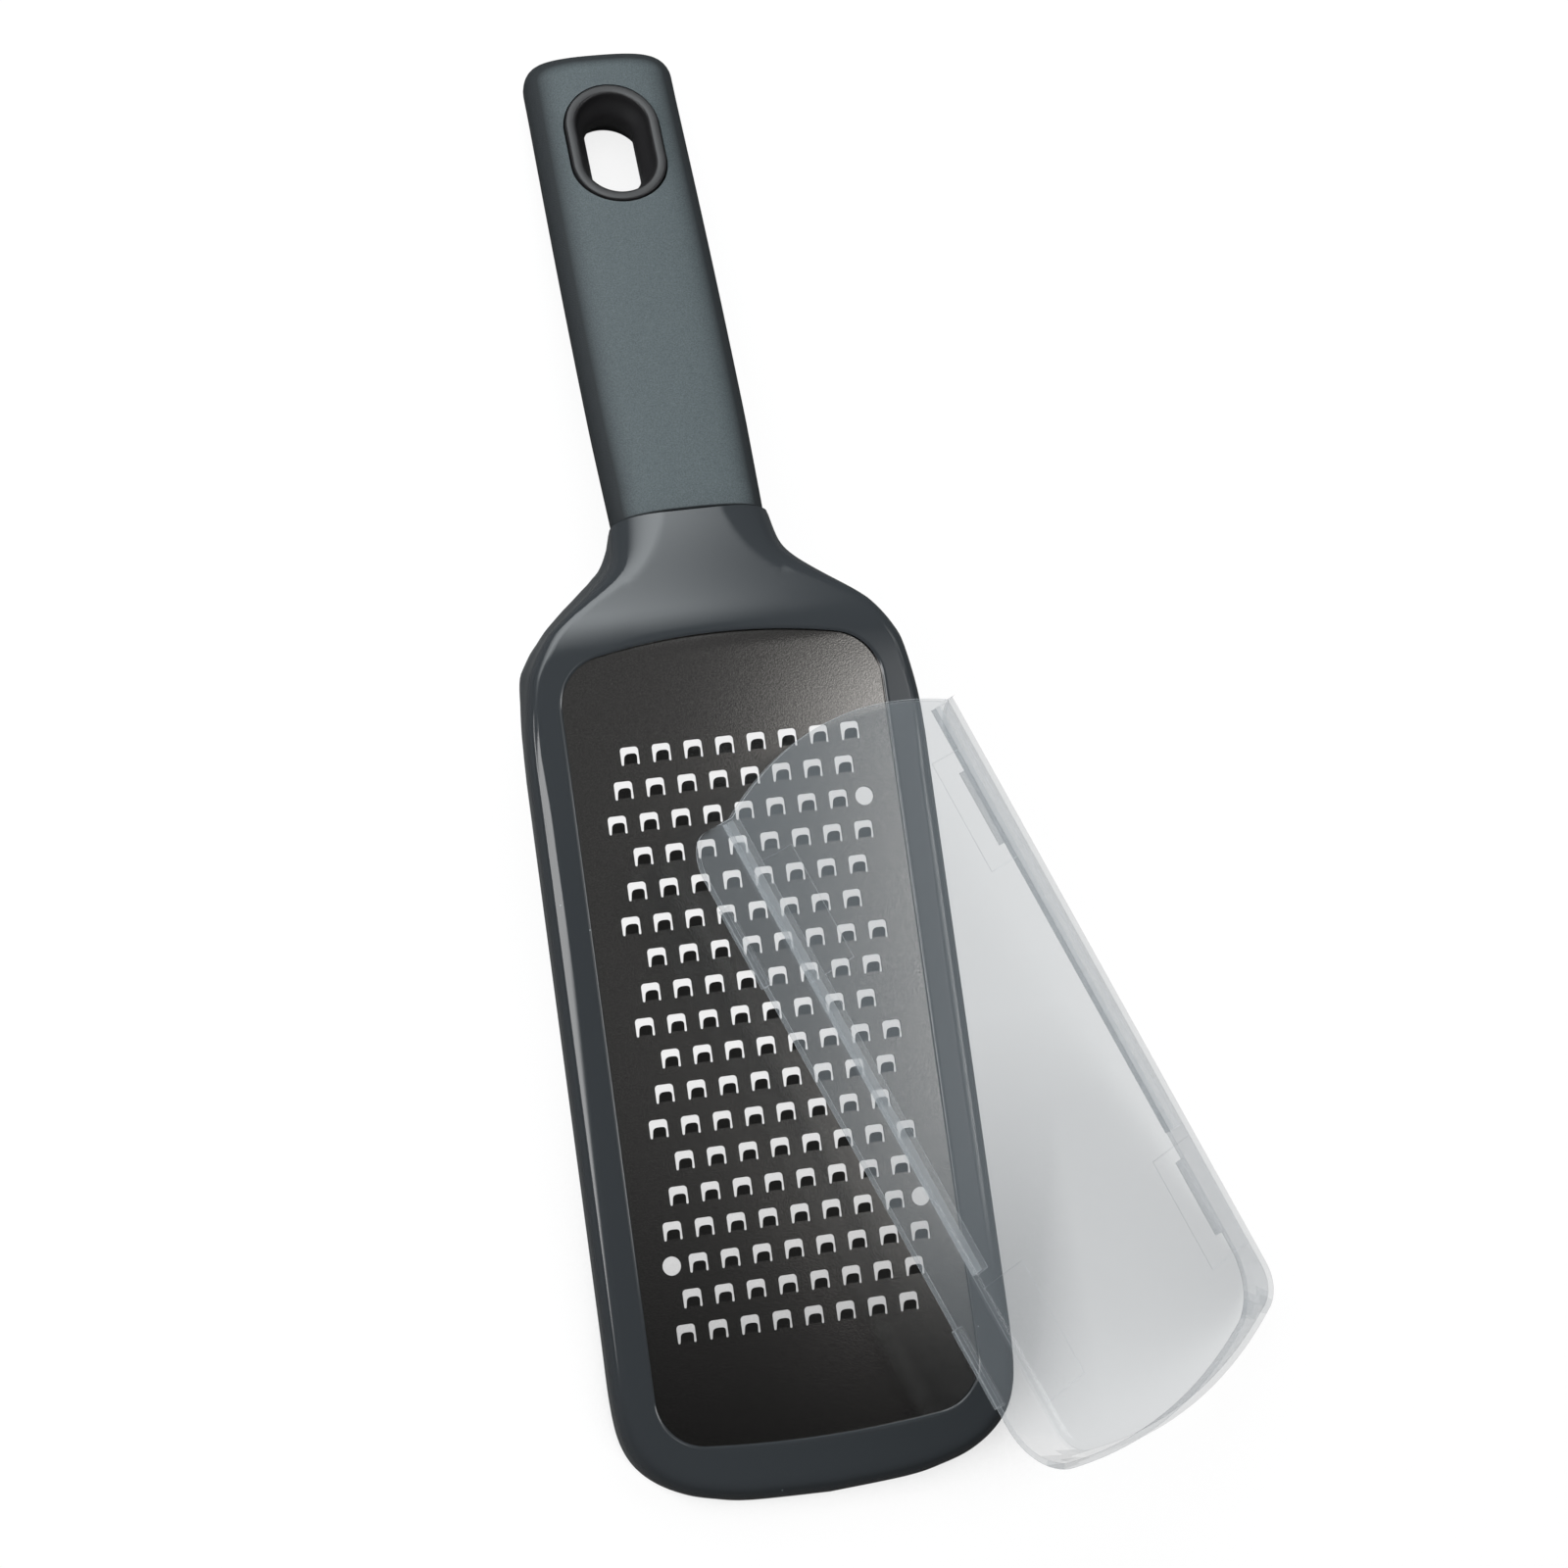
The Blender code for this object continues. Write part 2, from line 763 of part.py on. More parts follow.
paint(head, "gloss_grey_plastic", (0.055, 0.066, 0.072), 0.18, 0.0)
paint(sheet, "etched_steel", (0.10, 0.095, 0.09), 0.42, 1.0)
paint(grip, "soft_grey_grip", (0.075, 0.095, 0.105), 0.65, 0.0)
paint(liner, "dark_liner", (0.05, 0.048, 0.05), 0.35, 0.0)
clear = paint(cover, "clear_plastic", (0.82, 0.87, 0.90), 0.08, 0.0)
clear.inputs["Alpha"].default_value = 0.35
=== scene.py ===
import math

import bmesh
import bpy
import numpy as np
from mathutils import Matrix, Vector
from mathutils.geometry import delaunay_2d_cdt


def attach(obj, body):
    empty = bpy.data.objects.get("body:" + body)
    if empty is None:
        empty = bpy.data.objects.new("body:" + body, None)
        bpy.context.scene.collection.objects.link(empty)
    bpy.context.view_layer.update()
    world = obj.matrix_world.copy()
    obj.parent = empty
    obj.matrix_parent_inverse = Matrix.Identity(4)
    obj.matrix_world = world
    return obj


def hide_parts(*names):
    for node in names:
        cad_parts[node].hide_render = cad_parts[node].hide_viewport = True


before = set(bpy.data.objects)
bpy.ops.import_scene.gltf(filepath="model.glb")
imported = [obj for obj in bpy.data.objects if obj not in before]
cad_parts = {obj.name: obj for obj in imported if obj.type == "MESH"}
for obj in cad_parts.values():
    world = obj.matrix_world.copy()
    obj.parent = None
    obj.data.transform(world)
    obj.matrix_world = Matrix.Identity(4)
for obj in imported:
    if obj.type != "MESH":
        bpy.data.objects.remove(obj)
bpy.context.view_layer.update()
print("scene: frame loaded")

# Table and bend: the frame's own numbers, in metres, with the origin under the middle of the set.
stance = {
    "bendStart": 0.0715,
    "bendRadius": 0.0250,
    "bendAngle": math.radians(18.2),
    "tilt": math.radians(8.2174),
    "lift": 0.0206633,
    "centre": (0.0262, 0.0564),
}


def bend(x, station, level):
    along = station - stance["bendStart"]
    if along <= 0:
        return x, station, level
    radius = stance["bendRadius"]
    turn = min(along / radius, stance["bendAngle"])
    past = max(0.0, along - radius * stance["bendAngle"])
    y = stance["bendStart"] + radius * math.sin(turn) + past * math.cos(turn) + level * math.sin(turn)
    z = -radius * (1 - math.cos(turn)) - past * math.sin(turn) + level * math.cos(turn)
    return x, y, z


def stand(point):
    x, y, z = point
    c = math.cos(stance["tilt"])
    s = math.sin(stance["tilt"])
    middle = stance["centre"]
    return Vector((x - middle[0], y * c - z * s - middle[1], max(0.0, y * s + z * c + stance["lift"])))


# The opening in the head, shared by the frame and the sheet.
opening = {
    "halfWidth": 0.0305,
    "top": 0.0743,
    "tip": -0.0750,
    "topBow": 0.0040,
    "tipBow": 0.0022,
    "corner": 0.0095,
}
curveSteps = 16  # points between two controls, before they are spread evenly
arcSteps = 24  # points along each bow and each corner, before they are spread evenly


def evenSteps(line, steps):
    lengths = [0.0]
    for a, b in zip(line, line[1:]):
        lengths.append(lengths[-1] + (b - a).length)
    targets = np.linspace(0, lengths[-1], steps + 1)
    xs = np.interp(targets, lengths, [p.x for p in line])
    ys = np.interp(targets, lengths, [p.y for p in line])
    return [Vector((x, y)) for x, y in zip(xs, ys)]


def smoothCurve(controls, steps):
    found = []
    for i in range(len(controls) - 1):
        a = Vector(controls[max(i - 1, 0)])
        b = Vector(controls[i])
        c = Vector(controls[i + 1])
        d = Vector(controls[min(i + 2, len(controls) - 1)])
        for j in range(curveSteps):
            t = j / curveSteps
            partB = (2 * a - 5 * b + 4 * c - d) * t * t
            partC = (3 * b - 3 * c + d - a) * t ** 3
            found.append((2 * b + (c - a) * t + partB + partC) / 2)
    found.append(Vector(controls[-1]))
    return evenSteps(found, steps)


def openingHalf(grow, sideSteps, endSteps):
    wide = opening["halfWidth"] + grow
    radius = opening["corner"] + grow
    found = []
    for sign, limit in ((-1, opening["tip"] - grow), (1, opening["top"] + grow)):
        bow = opening["tipBow"] if sign < 0 else opening["topBow"]
        lean = math.atan(2 * bow * (wide - radius) / wide ** 2)
        meet = wide - radius + radius * math.sin(lean)
        line = []
        for i in range(arcSteps + 1):
            x = meet * i / arcSteps
            line.append(Vector((x, limit - sign * bow * (x / wide) ** 2)))
        corner = Vector((wide - radius, limit - sign * (bow * (meet / wide) ** 2 + radius * math.cos(lean))))
        for i in range(1, arcSteps + 1):
            angle = (math.pi / 2 - lean) * (1 - i / arcSteps)
            line.append(corner + radius * Vector((math.cos(angle), sign * math.sin(angle))))
        found.append(evenSteps(line, endSteps))
    lower = found[0]
    upper = list(reversed(found[1]))
    middle = [lower[-1].lerp(upper[0], i / sideSteps) for i in range(1, sideSteps)]
    return lower + middle + upper


def mirrored(half):
    return half + [Vector((-p.x, p.y)) for p in reversed(half[1:-1])]


def meshObject(name, points, faces, material):
    mesh = bpy.data.meshes.new(name)
    mesh.from_pydata([tuple(p) for p in points], [], faces)
    mesh.validate()
    made = bpy.data.objects.new(name, mesh)
    bpy.context.scene.collection.objects.link(made)
    mesh.materials.append(material)
    for face in mesh.polygons:
        face.use_smooth = True
    return made


def faceOutward(item):
    work = bmesh.new()
    work.from_mesh(item.data)
    bmesh.ops.recalc_face_normals(work, faces=work.faces)
    if work.calc_volume(signed=True) < 0:
        bmesh.ops.reverse_faces(work, faces=work.faces)
    work.to_mesh(item.data)
    work.free()


def sharpenOver(item, degrees):
    work = bmesh.new()
    work.from_mesh(item.data)
    limit = math.radians(degrees)
    for edge in work.edges:
        if len(edge.link_faces) == 2:
            edge.smooth = edge.calc_face_angle(0.0) < limit
    work.to_mesh(item.data)
    work.free()


def loft(name, rings, material, closed=True):
    count = len(rings[0])
    points = [p for ring in rings for p in ring]
    faces = []
    for i in range(len(rings) if closed else len(rings) - 1):
        a = i * count
        b = ((i + 1) % len(rings)) * count
        for j in range(count):
            k = (j + 1) % count
            faces.append((a + j, a + k, b + k, b + j))
    if not closed:
        faces.append(tuple(range(count - 1, -1, -1)))
        faces.append(tuple((len(rings) - 1) * count + j for j in range(count)))
    made = meshObject(name, points, faces, material)
    faceOutward(made)
    return made


# Shader groups shared by the materials: each gives values, colours or a normal.
def newGroup(name, inputs, outputs):
    tree = bpy.data.node_groups.new(name, "ShaderNodeTree")
    for label, kind, value in inputs:
        made = tree.interface.new_socket(label, in_out="INPUT", socket_type=kind)
        made.default_value = value
    for label, kind in outputs:
        tree.interface.new_socket(label, in_out="OUTPUT", socket_type=kind)
    start = tree.nodes.new("NodeGroupInput")
    end = tree.nodes.new("NodeGroupOutput")
    return tree, start, end


def addNode(tree, kind, **settings):
    made = tree.nodes.new(kind)
    for key, value in settings.items():
        setattr(made, key, value)
    return made


def feed(tree, socket, value):
    if isinstance(value, bpy.types.NodeSocket):
        tree.links.new(value, socket)
    elif socket.type == "RGBA":
        socket.default_value = (*value, 1)
    else:
        socket.default_value = value


def combine(tree, operation, first, second):
    node = addNode(tree, "ShaderNodeMath", operation=operation)
    feed(tree, node.inputs[0], first)
    feed(tree, node.inputs[1], second)
    return node.outputs[0]


def mapValue(tree, value, low, high, toLow, toHigh, smooth=False):
    kind = "SMOOTHSTEP" if smooth else "LINEAR"
    node = addNode(tree, "ShaderNodeMapRange", interpolation_type=kind)
    for i, given in enumerate((value, low, high, toLow, toHigh)):
        feed(tree, node.inputs[i], given)
    return node.outputs[0]


def mixColour(tree, factor, low, high):
    node = addNode(tree, "ShaderNodeMix", data_type="RGBA")
    feed(tree, node.inputs[0], factor)
    feed(tree, node.inputs[6], low)
    feed(tree, node.inputs[7], high)
    return node.outputs[2]


def dustGroup():
    tree, start, end = newGroup(
        "dustSpecks",
        [
            ("Scale", "NodeSocketFloat", 500.0),
            ("Amount", "NodeSocketFloat", 0.03),
            ("Size", "NodeSocketFloat", 0.1),
        ],
        [("Mask", "NodeSocketFloat")],
    )
    place = addNode(tree, "ShaderNodeTexCoord")
    cells = addNode(tree, "ShaderNodeTexVoronoi")
    split = addNode(tree, "ShaderNodeSeparateColor")
    feed(tree, cells.inputs["Vector"], place.outputs["Object"])
    feed(tree, cells.inputs["Scale"], start.outputs["Scale"])
    feed(tree, split.inputs["Color"], cells.outputs["Color"])
    near = combine(tree, "LESS_THAN", cells.outputs["Distance"], start.outputs["Size"])
    rare = combine(tree, "LESS_THAN", split.outputs["Red"], start.outputs["Amount"])
    feed(tree, end.inputs["Mask"], combine(tree, "MULTIPLY", near, rare))
    return tree


def grainGroup():
    tree, start, end = newGroup(
        "fineGrain",
        [("Scale", "NodeSocketFloat", 2500.0), ("Depth", "NodeSocketFloat", 0.1)],
        [("Value", "NodeSocketFloat"), ("Normal", "NodeSocketVector")],
    )
    place = addNode(tree, "ShaderNodeTexCoord")
    noise = addNode(tree, "ShaderNodeTexNoise")
    bump = addNode(tree, "ShaderNodeBump")
    bump.inputs["Distance"].default_value = 0.0002
    feed(tree, noise.inputs["Vector"], place.outputs["Object"])
    feed(tree, noise.inputs["Scale"], start.outputs["Scale"])
    feed(tree, bump.inputs["Height"], noise.outputs["Fac"])
    feed(tree, bump.inputs["Strength"], start.outputs["Depth"])
    feed(tree, end.inputs["Value"], noise.outputs["Fac"])
    feed(tree, end.inputs["Normal"], bump.outputs["Normal"])
    return tree


groups = {"dust": dustGroup(), "grain": grainGroup()}


def newMaterial(name, colour, roughness, metallic=0.0):
    material = bpy.data.materials.new(name)
    material.use_nodes = True
    shader = material.node_tree.nodes["Principled BSDF"]
    feed(material.node_tree, shader.inputs["Base Color"], colour)
    shader.inputs["Roughness"].default_value = roughness
    shader.inputs["Metallic"].default_value = metallic
    return material, shader


def useGroup(tree, key, **values):
    node = addNode(tree, "ShaderNodeGroup", node_tree=groups[key])
    for label, value in values.items():
        feed(tree, node.inputs[label], value)
    return node


# The head: a glossy moulding round the sheet, rising into the neck. A run is how far in from the
# outline the skin reaches its full height, and the skirt is the flank's flare at the shoulders.
head = {
    "tip": -0.0855,
    "outline": (
        (0.0147, -0.0848),
        (0.0215, -0.0836),
        (0.0270, -0.0819),
        (0.0318, -0.0790),
        (0.0352, -0.0752),
        (0.0371, -0.0702),
        (0.0378, -0.0633),
        (0.0379, -0.0540),
        (0.0379, 0.0510),
        (0.0375, 0.0596),
        (0.0361, 0.0685),
    ),
    "neck": (
        (0.0347, 0.12),
        (0.0319, 0.27),
        (0.0288, 0.38),
        (0.0220, 0.57),
        (0.0182, 0.69),
        (0.0163, 0.80),
        (0.0153, 1.00),
    ),
    "rim": 0.0009,
    "widest": -0.0043,
    "bottom": -0.0097,
    "lip": 0.0003,
    "tuck": 0.0015,
    "gap": 0.0003,
    "sheet": 0.0005,
    "seam": 0.0994,
    "neckTop": 0.0019,
    "skirt": (
        (0.0580, 0.0),
        (0.0660, 0.0004),
        (0.0700, 0.0008),
        (0.0738, 0.0012),
        (0.0775, 0.0018),
        (0.0805, 0.0023),
        (0.0840, 0.0026),
        (0.0880, 0.0026),
        (0.0904, 0.0023),
        (0.0935, 0.0014),
        (0.0965, 0.0005),
        (0.0994, 0.0),
    ),
    "skirtPower": 0.8,
    "sideSteps": 60,
    "endSteps": 100,
    "seamSteps": 40,
    "insets": (0.0, 0.00012, 0.0003, 0.0006, 0.001, 0.0015, 0.0021, 0.0028, 0.0036),
    "insetSlack": 1.02,
    "insetLimit": 0.5,
    "crownRings": 15,
    "underShares": (0.75, 0.5, 0.25),
    "flankShares": (0.7, 0.35),
    "lipWidth": 0.0005,
    "lipRound": ((0.00018, 0.00005), (0.0, 0.00020)),  # out from the opening, down from the rim
    "footRound": ((0.0, 0.0008), (0.0003, 0.0002)),  # out from the opening, up from the bottom
    "flankEnd": 0.130,
    "neckStart": 0.078,
    "neckRun": 0.0080,
    "neckDrop": 0.0005,
    "topRun": 0.0034,
    "bottomRun": 0.0030,
    "shoulderRun": 0.0012,
    "shoulderFrom": (0.042, 0.064),
    "bulge": 2.4,
    "flatHalf": 0.0012,
    "fullness": 0.0023,
    "fullFrom": (0.050, 0.076),
    "fullUntil": 0.088,
    "fullTip": (0.050, 0.078),
    "colour": (0.038, 0.0425, 0.047),
    "roughness": 0.07,
    "dust": {"Scale": 420.0, "Amount": 0.05, "Size": 0.09},
    "dustColour": (0.18, 0.21, 0.22),
}


def outerHalf():
    shoulder = head["outline"][-1][1]
    neck = [(x, shoulder + share * (head["seam"] - shoulder)) for x, share in head["neck"]]
    controls = [(0.0, head["tip"])] + list(head["outline"]) + neck
    low = smoothCurve(controls[:9], head["endSteps"])
    high = smoothCurve(controls[9:], head["endSteps"] - head["seamSteps"])
    middle = [low[-1].lerp(high[0], i / head["sideSteps"]) for i in range(1, head["sideSteps"])]
    end = high[-1]
    count = head["seamSteps"]
    seam = [Vector((end.x * (1 - i / count), end.y)) for i in range(1, count + 1)]
    return low + middle + high + seam


def eased(value, low, high):
    t = max(0.0, min(1.0, (value - low) / (high - low)))
    return t * t * (3 - 2 * t)


def neckShare(station):
    return eased(station, head["neckStart"], head["seam"])


def flankFullness(station):
    shoulder = eased(station, *head["fullFrom"]) * eased(-station, -head["seam"], -head["fullUntil"])
    return shoulder + eased(-station, *head["fullTip"])


def headLevel(depth, station, top):
    share = neckShare(station)
    if top:
        crown = head["rim"] + (head["neckTop"] - head["rim"]) * share
        run = head["topRun"] - head["shoulderRun"] * eased(station, *head["shoulderFrom"])
        start = head["widest"] + head["flatHalf"]
    else:
        crown = head["bottom"] - head["neckDrop"] * share
        run = head["bottomRun"]
        start = head["widest"] + (-head["flatHalf"] - head["fullness"] * flankFullness(station))
    run += head["neckRun"] * share
    t = max(0.0, min(1.0, depth / run))
    rise = math.sqrt(max(0.0, 1 - (1 - t) ** head["bulge"]))
    return start + (crown - start) * rise


def flankDistances(outline, flank):
    starts = np.array([tuple(p) for p in flank[:-1]])
    edges = np.array([tuple(p) for p in flank[1:]]) - starts
    lengths = np.maximum((edges ** 2).sum(1), 1e-14)
    found = []
    for p in outline:
        offset = np.array(tuple(p)) - starts
        t = np.clip((offset * edges).sum(1) / lengths, 0, 1)
        found.append(float(np.sqrt(((offset - edges * t[:, None]) ** 2).sum(1).min())))
    return found


def buildHead(material):
    def ringAt(grow):
        return mirrored(openingHalf(grow, head["sideSteps"], head["endSteps"]))

    edge = ringAt(0.0)
    lip = ringAt(head["lipWidth"])
    groove = ringAt(head["tuck"] + head["gap"])
    half = outerHalf()
    outer = mirrored(half)
    cut = len(half) - head["seamSteps"]
    flank = half[:cut] + [Vector((half[cut - 1].x, head["flankEnd"]))]
    flank = [Vector((-p.x, p.y)) for p in reversed(flank)] + flank
    insets = head["insets"]

    def inset(depth):
        found = []
        for a, b in zip(edge, outer):
            share = depth / (b - a).length * head["insetSlack"]
            found.append(b.lerp(a, min(head["insetLimit"], share)))
        return found

    def between(share):
        return [b.lerp(a, share) for a, b in zip(lip, inset(insets[-1]))]

    def flat(outline, level):
        return [stand(bend(p.x, p.y, level)) for p in outline]

    def skin(outline, top):
        depths = flankDistances(outline, flank)
        return [stand(bend(p.x, p.y, headLevel(d, p.y, top))) for p, d in zip(outline, depths)]

    def skirt(share, outline):
        depths = flankDistances(outline, flank)
        ring = []
        for i, p in enumerate(outline):
            along = outer[(i + 1) % len(outer)] - outer[i - 1]
            away = Vector((along.y, -along.x)).normalized()
            reach = float(np.interp(p.y, *zip(*head["skirt"]))) * (p.y > 0) * share ** head["skirtPower"]
            reach *= max(0.0, 1 - depths[i] / insets[-1])
            high = headLevel(depths[i], p.y, True)
            low = headLevel(depths[i], p.y, False)
            level = low if share == 1 else high + (low - high) * share
            ring.append(stand(bend(p.x + away.x * reach, p.y + away.y * reach, level)))
        return ring

    below = -head["sheet"] - head["gap"]
    count = head["crownRings"]
    rings = [skin(inset(depth), True) for depth in insets]
    rings += [skin(between(i / count), True) for i in range(1, count)]
    rings.append(flat(lip, head["rim"]))
    rings += [flat(ringAt(out), head["rim"] - drop) for out, drop in head["lipRound"]]
    rings += [flat(edge, head["lip"]), flat(groove, head["lip"]), flat(groove, below), flat(edge, below)]
    rings += [flat(ringAt(out), head["bottom"] + up) for out, up in head["footRound"]]
    rings.append(flat(lip, head["bottom"]))
    rings += [skin(between(share), False) for share in head["underShares"]]
    rings += [skirt(1, inset(depth)) for depth in reversed(insets)]
    rings += [skirt(share, outer) for share in head["flankShares"]]
    made = loft("headSkin", rings, material)
    sharpenOver(made, degrees=40)
    return made


def headMaterial():
    material, shader = newMaterial("gloss_grey_plastic", head["colour"], head["roughness"])
    tree = material.node_tree
    dust = useGroup(tree, "dust", **head["dust"])
    colour = mixColour(tree, dust.outputs["Mask"], head["colour"], head["dustColour"])
    feed(tree, shader.inputs["Base Color"], colour)
    return material


headSkin = buildHead(headMaterial())
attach(headSkin, "grater")
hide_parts("head_frame")
print("scene: head built")

# The sheet: a fine etched field of U slots whose tongues stand up at the handle end.
sheet = {
    "pitch": 0.0060,
    "row": 0.00626,
    "rows": 18,
    "columns": 8,
    "firstRow": 8.5,  # in rows from the middle of the head
    "firstColumn": -3.1667,  # in pitches from the middle line
    "stagger": 3,  # rows until the sideways step repeats
    "slotWidth": 0.0035,
    "slotHeight": 0.00342,
    "slotCorner": 0.0007,
    "leg": 0.00052,
    "band": 0.0014,
    "lift": 0.0012,
    "rootLift": 0.4,
    "tongueRoot": 0.0009,
    "tonguePower": 0.62,
    "tongueSteps": 10,
    "slit": 0.00002,
    "cornerSteps": 5,
    "legSteps": 4,
    "holeRadius": 0.00175,
    "holePoints": 24,
    "roundHoles": ((-0.0240, -0.04069), (0.0240, 0.04069), (0.0240, -0.03443)),
    "borderSteps": (24, 32),
    "pointWidth": 0.0576,
    "plainSteps": 18,
    "plainRows": (-0.0730, -0.0680, -0.0630, -0.0590, 0.0575, 0.0610, 0.0650, 0.0690),
    "bendSteps": 36,
    "bendRows": (0.0706, 0.0714, 0.0722, 0.0729, 0.0736, 0.0743, 0.0750),
    "weld": 1e-8,
    "colour": (0.40, 0.385, 0.37),
    "tones": ((0.24, 0.232, 0.225), (0.56, 0.54, 0.515)),
    "grain": {"Scale": 3000.0, "Depth": 0.03},
    "roughness": 0.13,
}


def arcPoints(centre, radius, start, end, steps):
    found = []
    for i in range(steps + 1):
        angle = math.radians(start + (end - start) * i / steps)
        found.append((centre[0] + radius * math.cos(angle), centre[1] + radius * math.sin(angle)))
    return found


def toothOutline():
    wide = sheet["slotWidth"] / 2
    high = sheet["slotHeight"]
    leg = sheet["leg"] / 2
    inner = wide - sheet["leg"]
    tip = high - sheet["band"]
    corner = sheet["slotCorner"]
    steps = sheet["cornerSteps"]
    outline = [(p, 0.0) for p in arcPoints((wide - corner, high - corner), corner, 0, 90, steps)]
    outline += [(p, 0.0) for p in arcPoints((-wide + corner, high - corner), corner, 90, 180, steps)]
    outline += [(p, 0.0) for p in arcPoints((-wide + leg, leg), leg, 180, 360, sheet["legSteps"])]
    tongueStart = len(outline) - 1
    root = sheet["tongueRoot"]
    low = sheet["rootLift"]
    power = sheet["tonguePower"]
    for i in range(sheet["tongueSteps"] + 1):
        angle = math.pi * (1 - i / sheet["tongueSteps"])
        c, rise = math.cos(angle), abs(math.sin(angle)) ** power
        x = (inner - sheet["slit"]) * math.copysign(abs(c) ** power, c)
        outline.append(((x, root + (tip - root) * rise), low + (1 - low) * rise))
    tongueEnd = len(outline)
    outline += [(p, 0.0) for p in arcPoints((wide - leg, leg), leg, 180, 360, sheet["legSteps"])]
    return outline, tongueStart, tongueEnd


def insideOutline(point, outline):
    found = False
    for a, b in zip(outline, outline[1:] + outline[:1]):
        if (a[1] > point[1]) != (b[1] > point[1]):
            if a[0] + (point[1] - a[1]) / (b[1] - a[1]) * (b[0] - a[0]) > point[0]:
                found = not found
    return found


def toothCentres():
    turn = sheet["stagger"]
    for row in range(sheet["rows"]):
        for column in range(sheet["columns"]):
            x = (column - (row % turn) / turn + sheet["firstColumn"]) * sheet["pitch"]
            yield x, (sheet["firstRow"] - row) * sheet["row"] - sheet["slotHeight"] / 2


def buildSheet(material):
    points = []
    lifts = []
    edges = []
    holes = []

    def addLoop(loop, heights):
        start = len(points)
        points.extend(Vector(p) for p in loop)
        lifts.extend(heights)
        edges.extend((start + i, start + (i + 1) % len(loop)) for i in range(len(loop)))
        return start

    border = [(p.x, p.y) for p in mirrored(openingHalf(head["tuck"], *sheet["borderSteps"]))]
    addLoop(border, [0.0] * len(border))
    outline, tongueStart, tongueEnd = toothOutline()
    for cx, cy in toothCentres():
        loop = [(cx + x, cy + y) for (x, y), _ in outline]
        start = addLoop(loop, [height for _, height in outline])
        edges.append((start + tongueStart, start + tongueEnd))
        holes.append((cx, cy + sheet["slotHeight"] / 2, loop))
    around = sheet["holePoints"]
    for x, y in sheet["roundHoles"]:
        loop = arcPoints((x, y), sheet["holeRadius"], 0, 360 - 360 / around, around - 1)
        addLoop(loop, [0.0] * len(loop))
        holes.append((x, y, loop))
    for key in ("plain", "bend"):
        steps = sheet[key + "Steps"]
        for station in sheet[key + "Rows"]:
            points += [Vector((sheet["pointWidth"] * (i / steps - 0.5), station)) for i in range(steps + 1)]
            lifts += [0.0] * (steps + 1)
    found = delaunay_2d_cdt(points, edges, [], 1, sheet["weld"])
    flat = found[0]
    source = found[3]
    centres = np.array([(h[0], h[1]) for h in holes])
    triangles = []
    for face in found[2]:
        middle = sum((flat[i] for i in face), Vector((0, 0))) / 3
        near = np.argsort(((centres - np.array(middle)) ** 2).sum(1))[:3]
        if any(insideOutline(middle, holes[i][2]) for i in near) or not insideOutline(middle, border):
            continue
        triangles.append(tuple(face))
    height = [sheet["lift"] * max([lifts[s] for s in source[i]] or [0.0]) for i in range(len(flat))]
    count = len(flat)
    solid = [stand(bend(p.x, p.y, height[i])) for i, p in enumerate(flat)]
    solid += [stand(bend(p.x, p.y, height[i] - head["sheet"])) for i, p in enumerate(flat)]
    used = {(face[i], face[(i + 1) % 3]) for face in triangles for i in range(3)}
    faces = list(triangles)
    faces += [tuple(i + count for i in reversed(face)) for face in triangles]
    faces += [(b, a, a + count, b + count) for a, b in used if (b, a) not in used]
    made = meshObject("sheetSkin", solid, faces, material)
    work = bmesh.new()
    work.from_mesh(made.data)
    bmesh.ops.delete(work, geom=[v for v in work.verts if not v.link_faces], context="VERTS")
    work.to_mesh(made.data)
    work.free()
    faceOutward(made)
    sharpenOver(made, degrees=12)
    return made


def sheetMaterial():
    material, shader = newMaterial("etched_steel", sheet["colour"], sheet["roughness"], metallic=1.0)
    tree = material.node_tree
    grain = useGroup(tree, "grain", **sheet["grain"])
    feed(tree, shader.inputs["Base Color"], mixColour(tree, grain.outputs["Value"], *sheet["tones"]))
    feed(tree, shader.inputs["Normal"], grain.outputs["Normal"])
    return material


sheetSkin = buildSheet(sheetMaterial())
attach(sheetSkin, "grater")
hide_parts("blade")
print("scene: sheet built")

# The grip: a matte skin with a fine speckle and painted shade on its flanks, pierced by the hanging hole.
grip = {
    "start": 0.0997,
    "end": 0.2044,
    "halfWidth": 0.01495,
    "top": 0.0022,
    "bottom": -0.0106,
    "corner": 0.0055,
    "around": 96,
    "power": 2.6,
    "swell": 0.0003,
    "swellEnd": 0.9,
    "narrowing": 0.0003,
    "narrowEnd": 0.2,
    "startRound": ((0.0, 0.0004), (0.0001, 0.0002), (0.0004, 0.0)),  # along, then in from the skin
    "bodyStart": 0.006,
    "bodyRings": 22,
    "endAngles": (10, 20, 30, 40, 50, 60, 68, 75, 81, 86),
    "endWidth": 0.95,
    "endDepth": 0.0042,
    "colour": (0.060, 0.078, 0.086),
    "tones": ((0.072, 0.088, 0.094), (0.113, 0.136, 0.144)),
    "speckle": (0.35, 0.68),
    "paintedFlankShade": (0.027, 0.031, 0.034),
    "upward": (0.82, 0.965),  # how far a face looks up: painted flank shade below, full tone above
    "grain": {"Scale": 3900.0, "Depth": 0.35},
    "specular": 0.3,
    "roughness": 0.66,
}
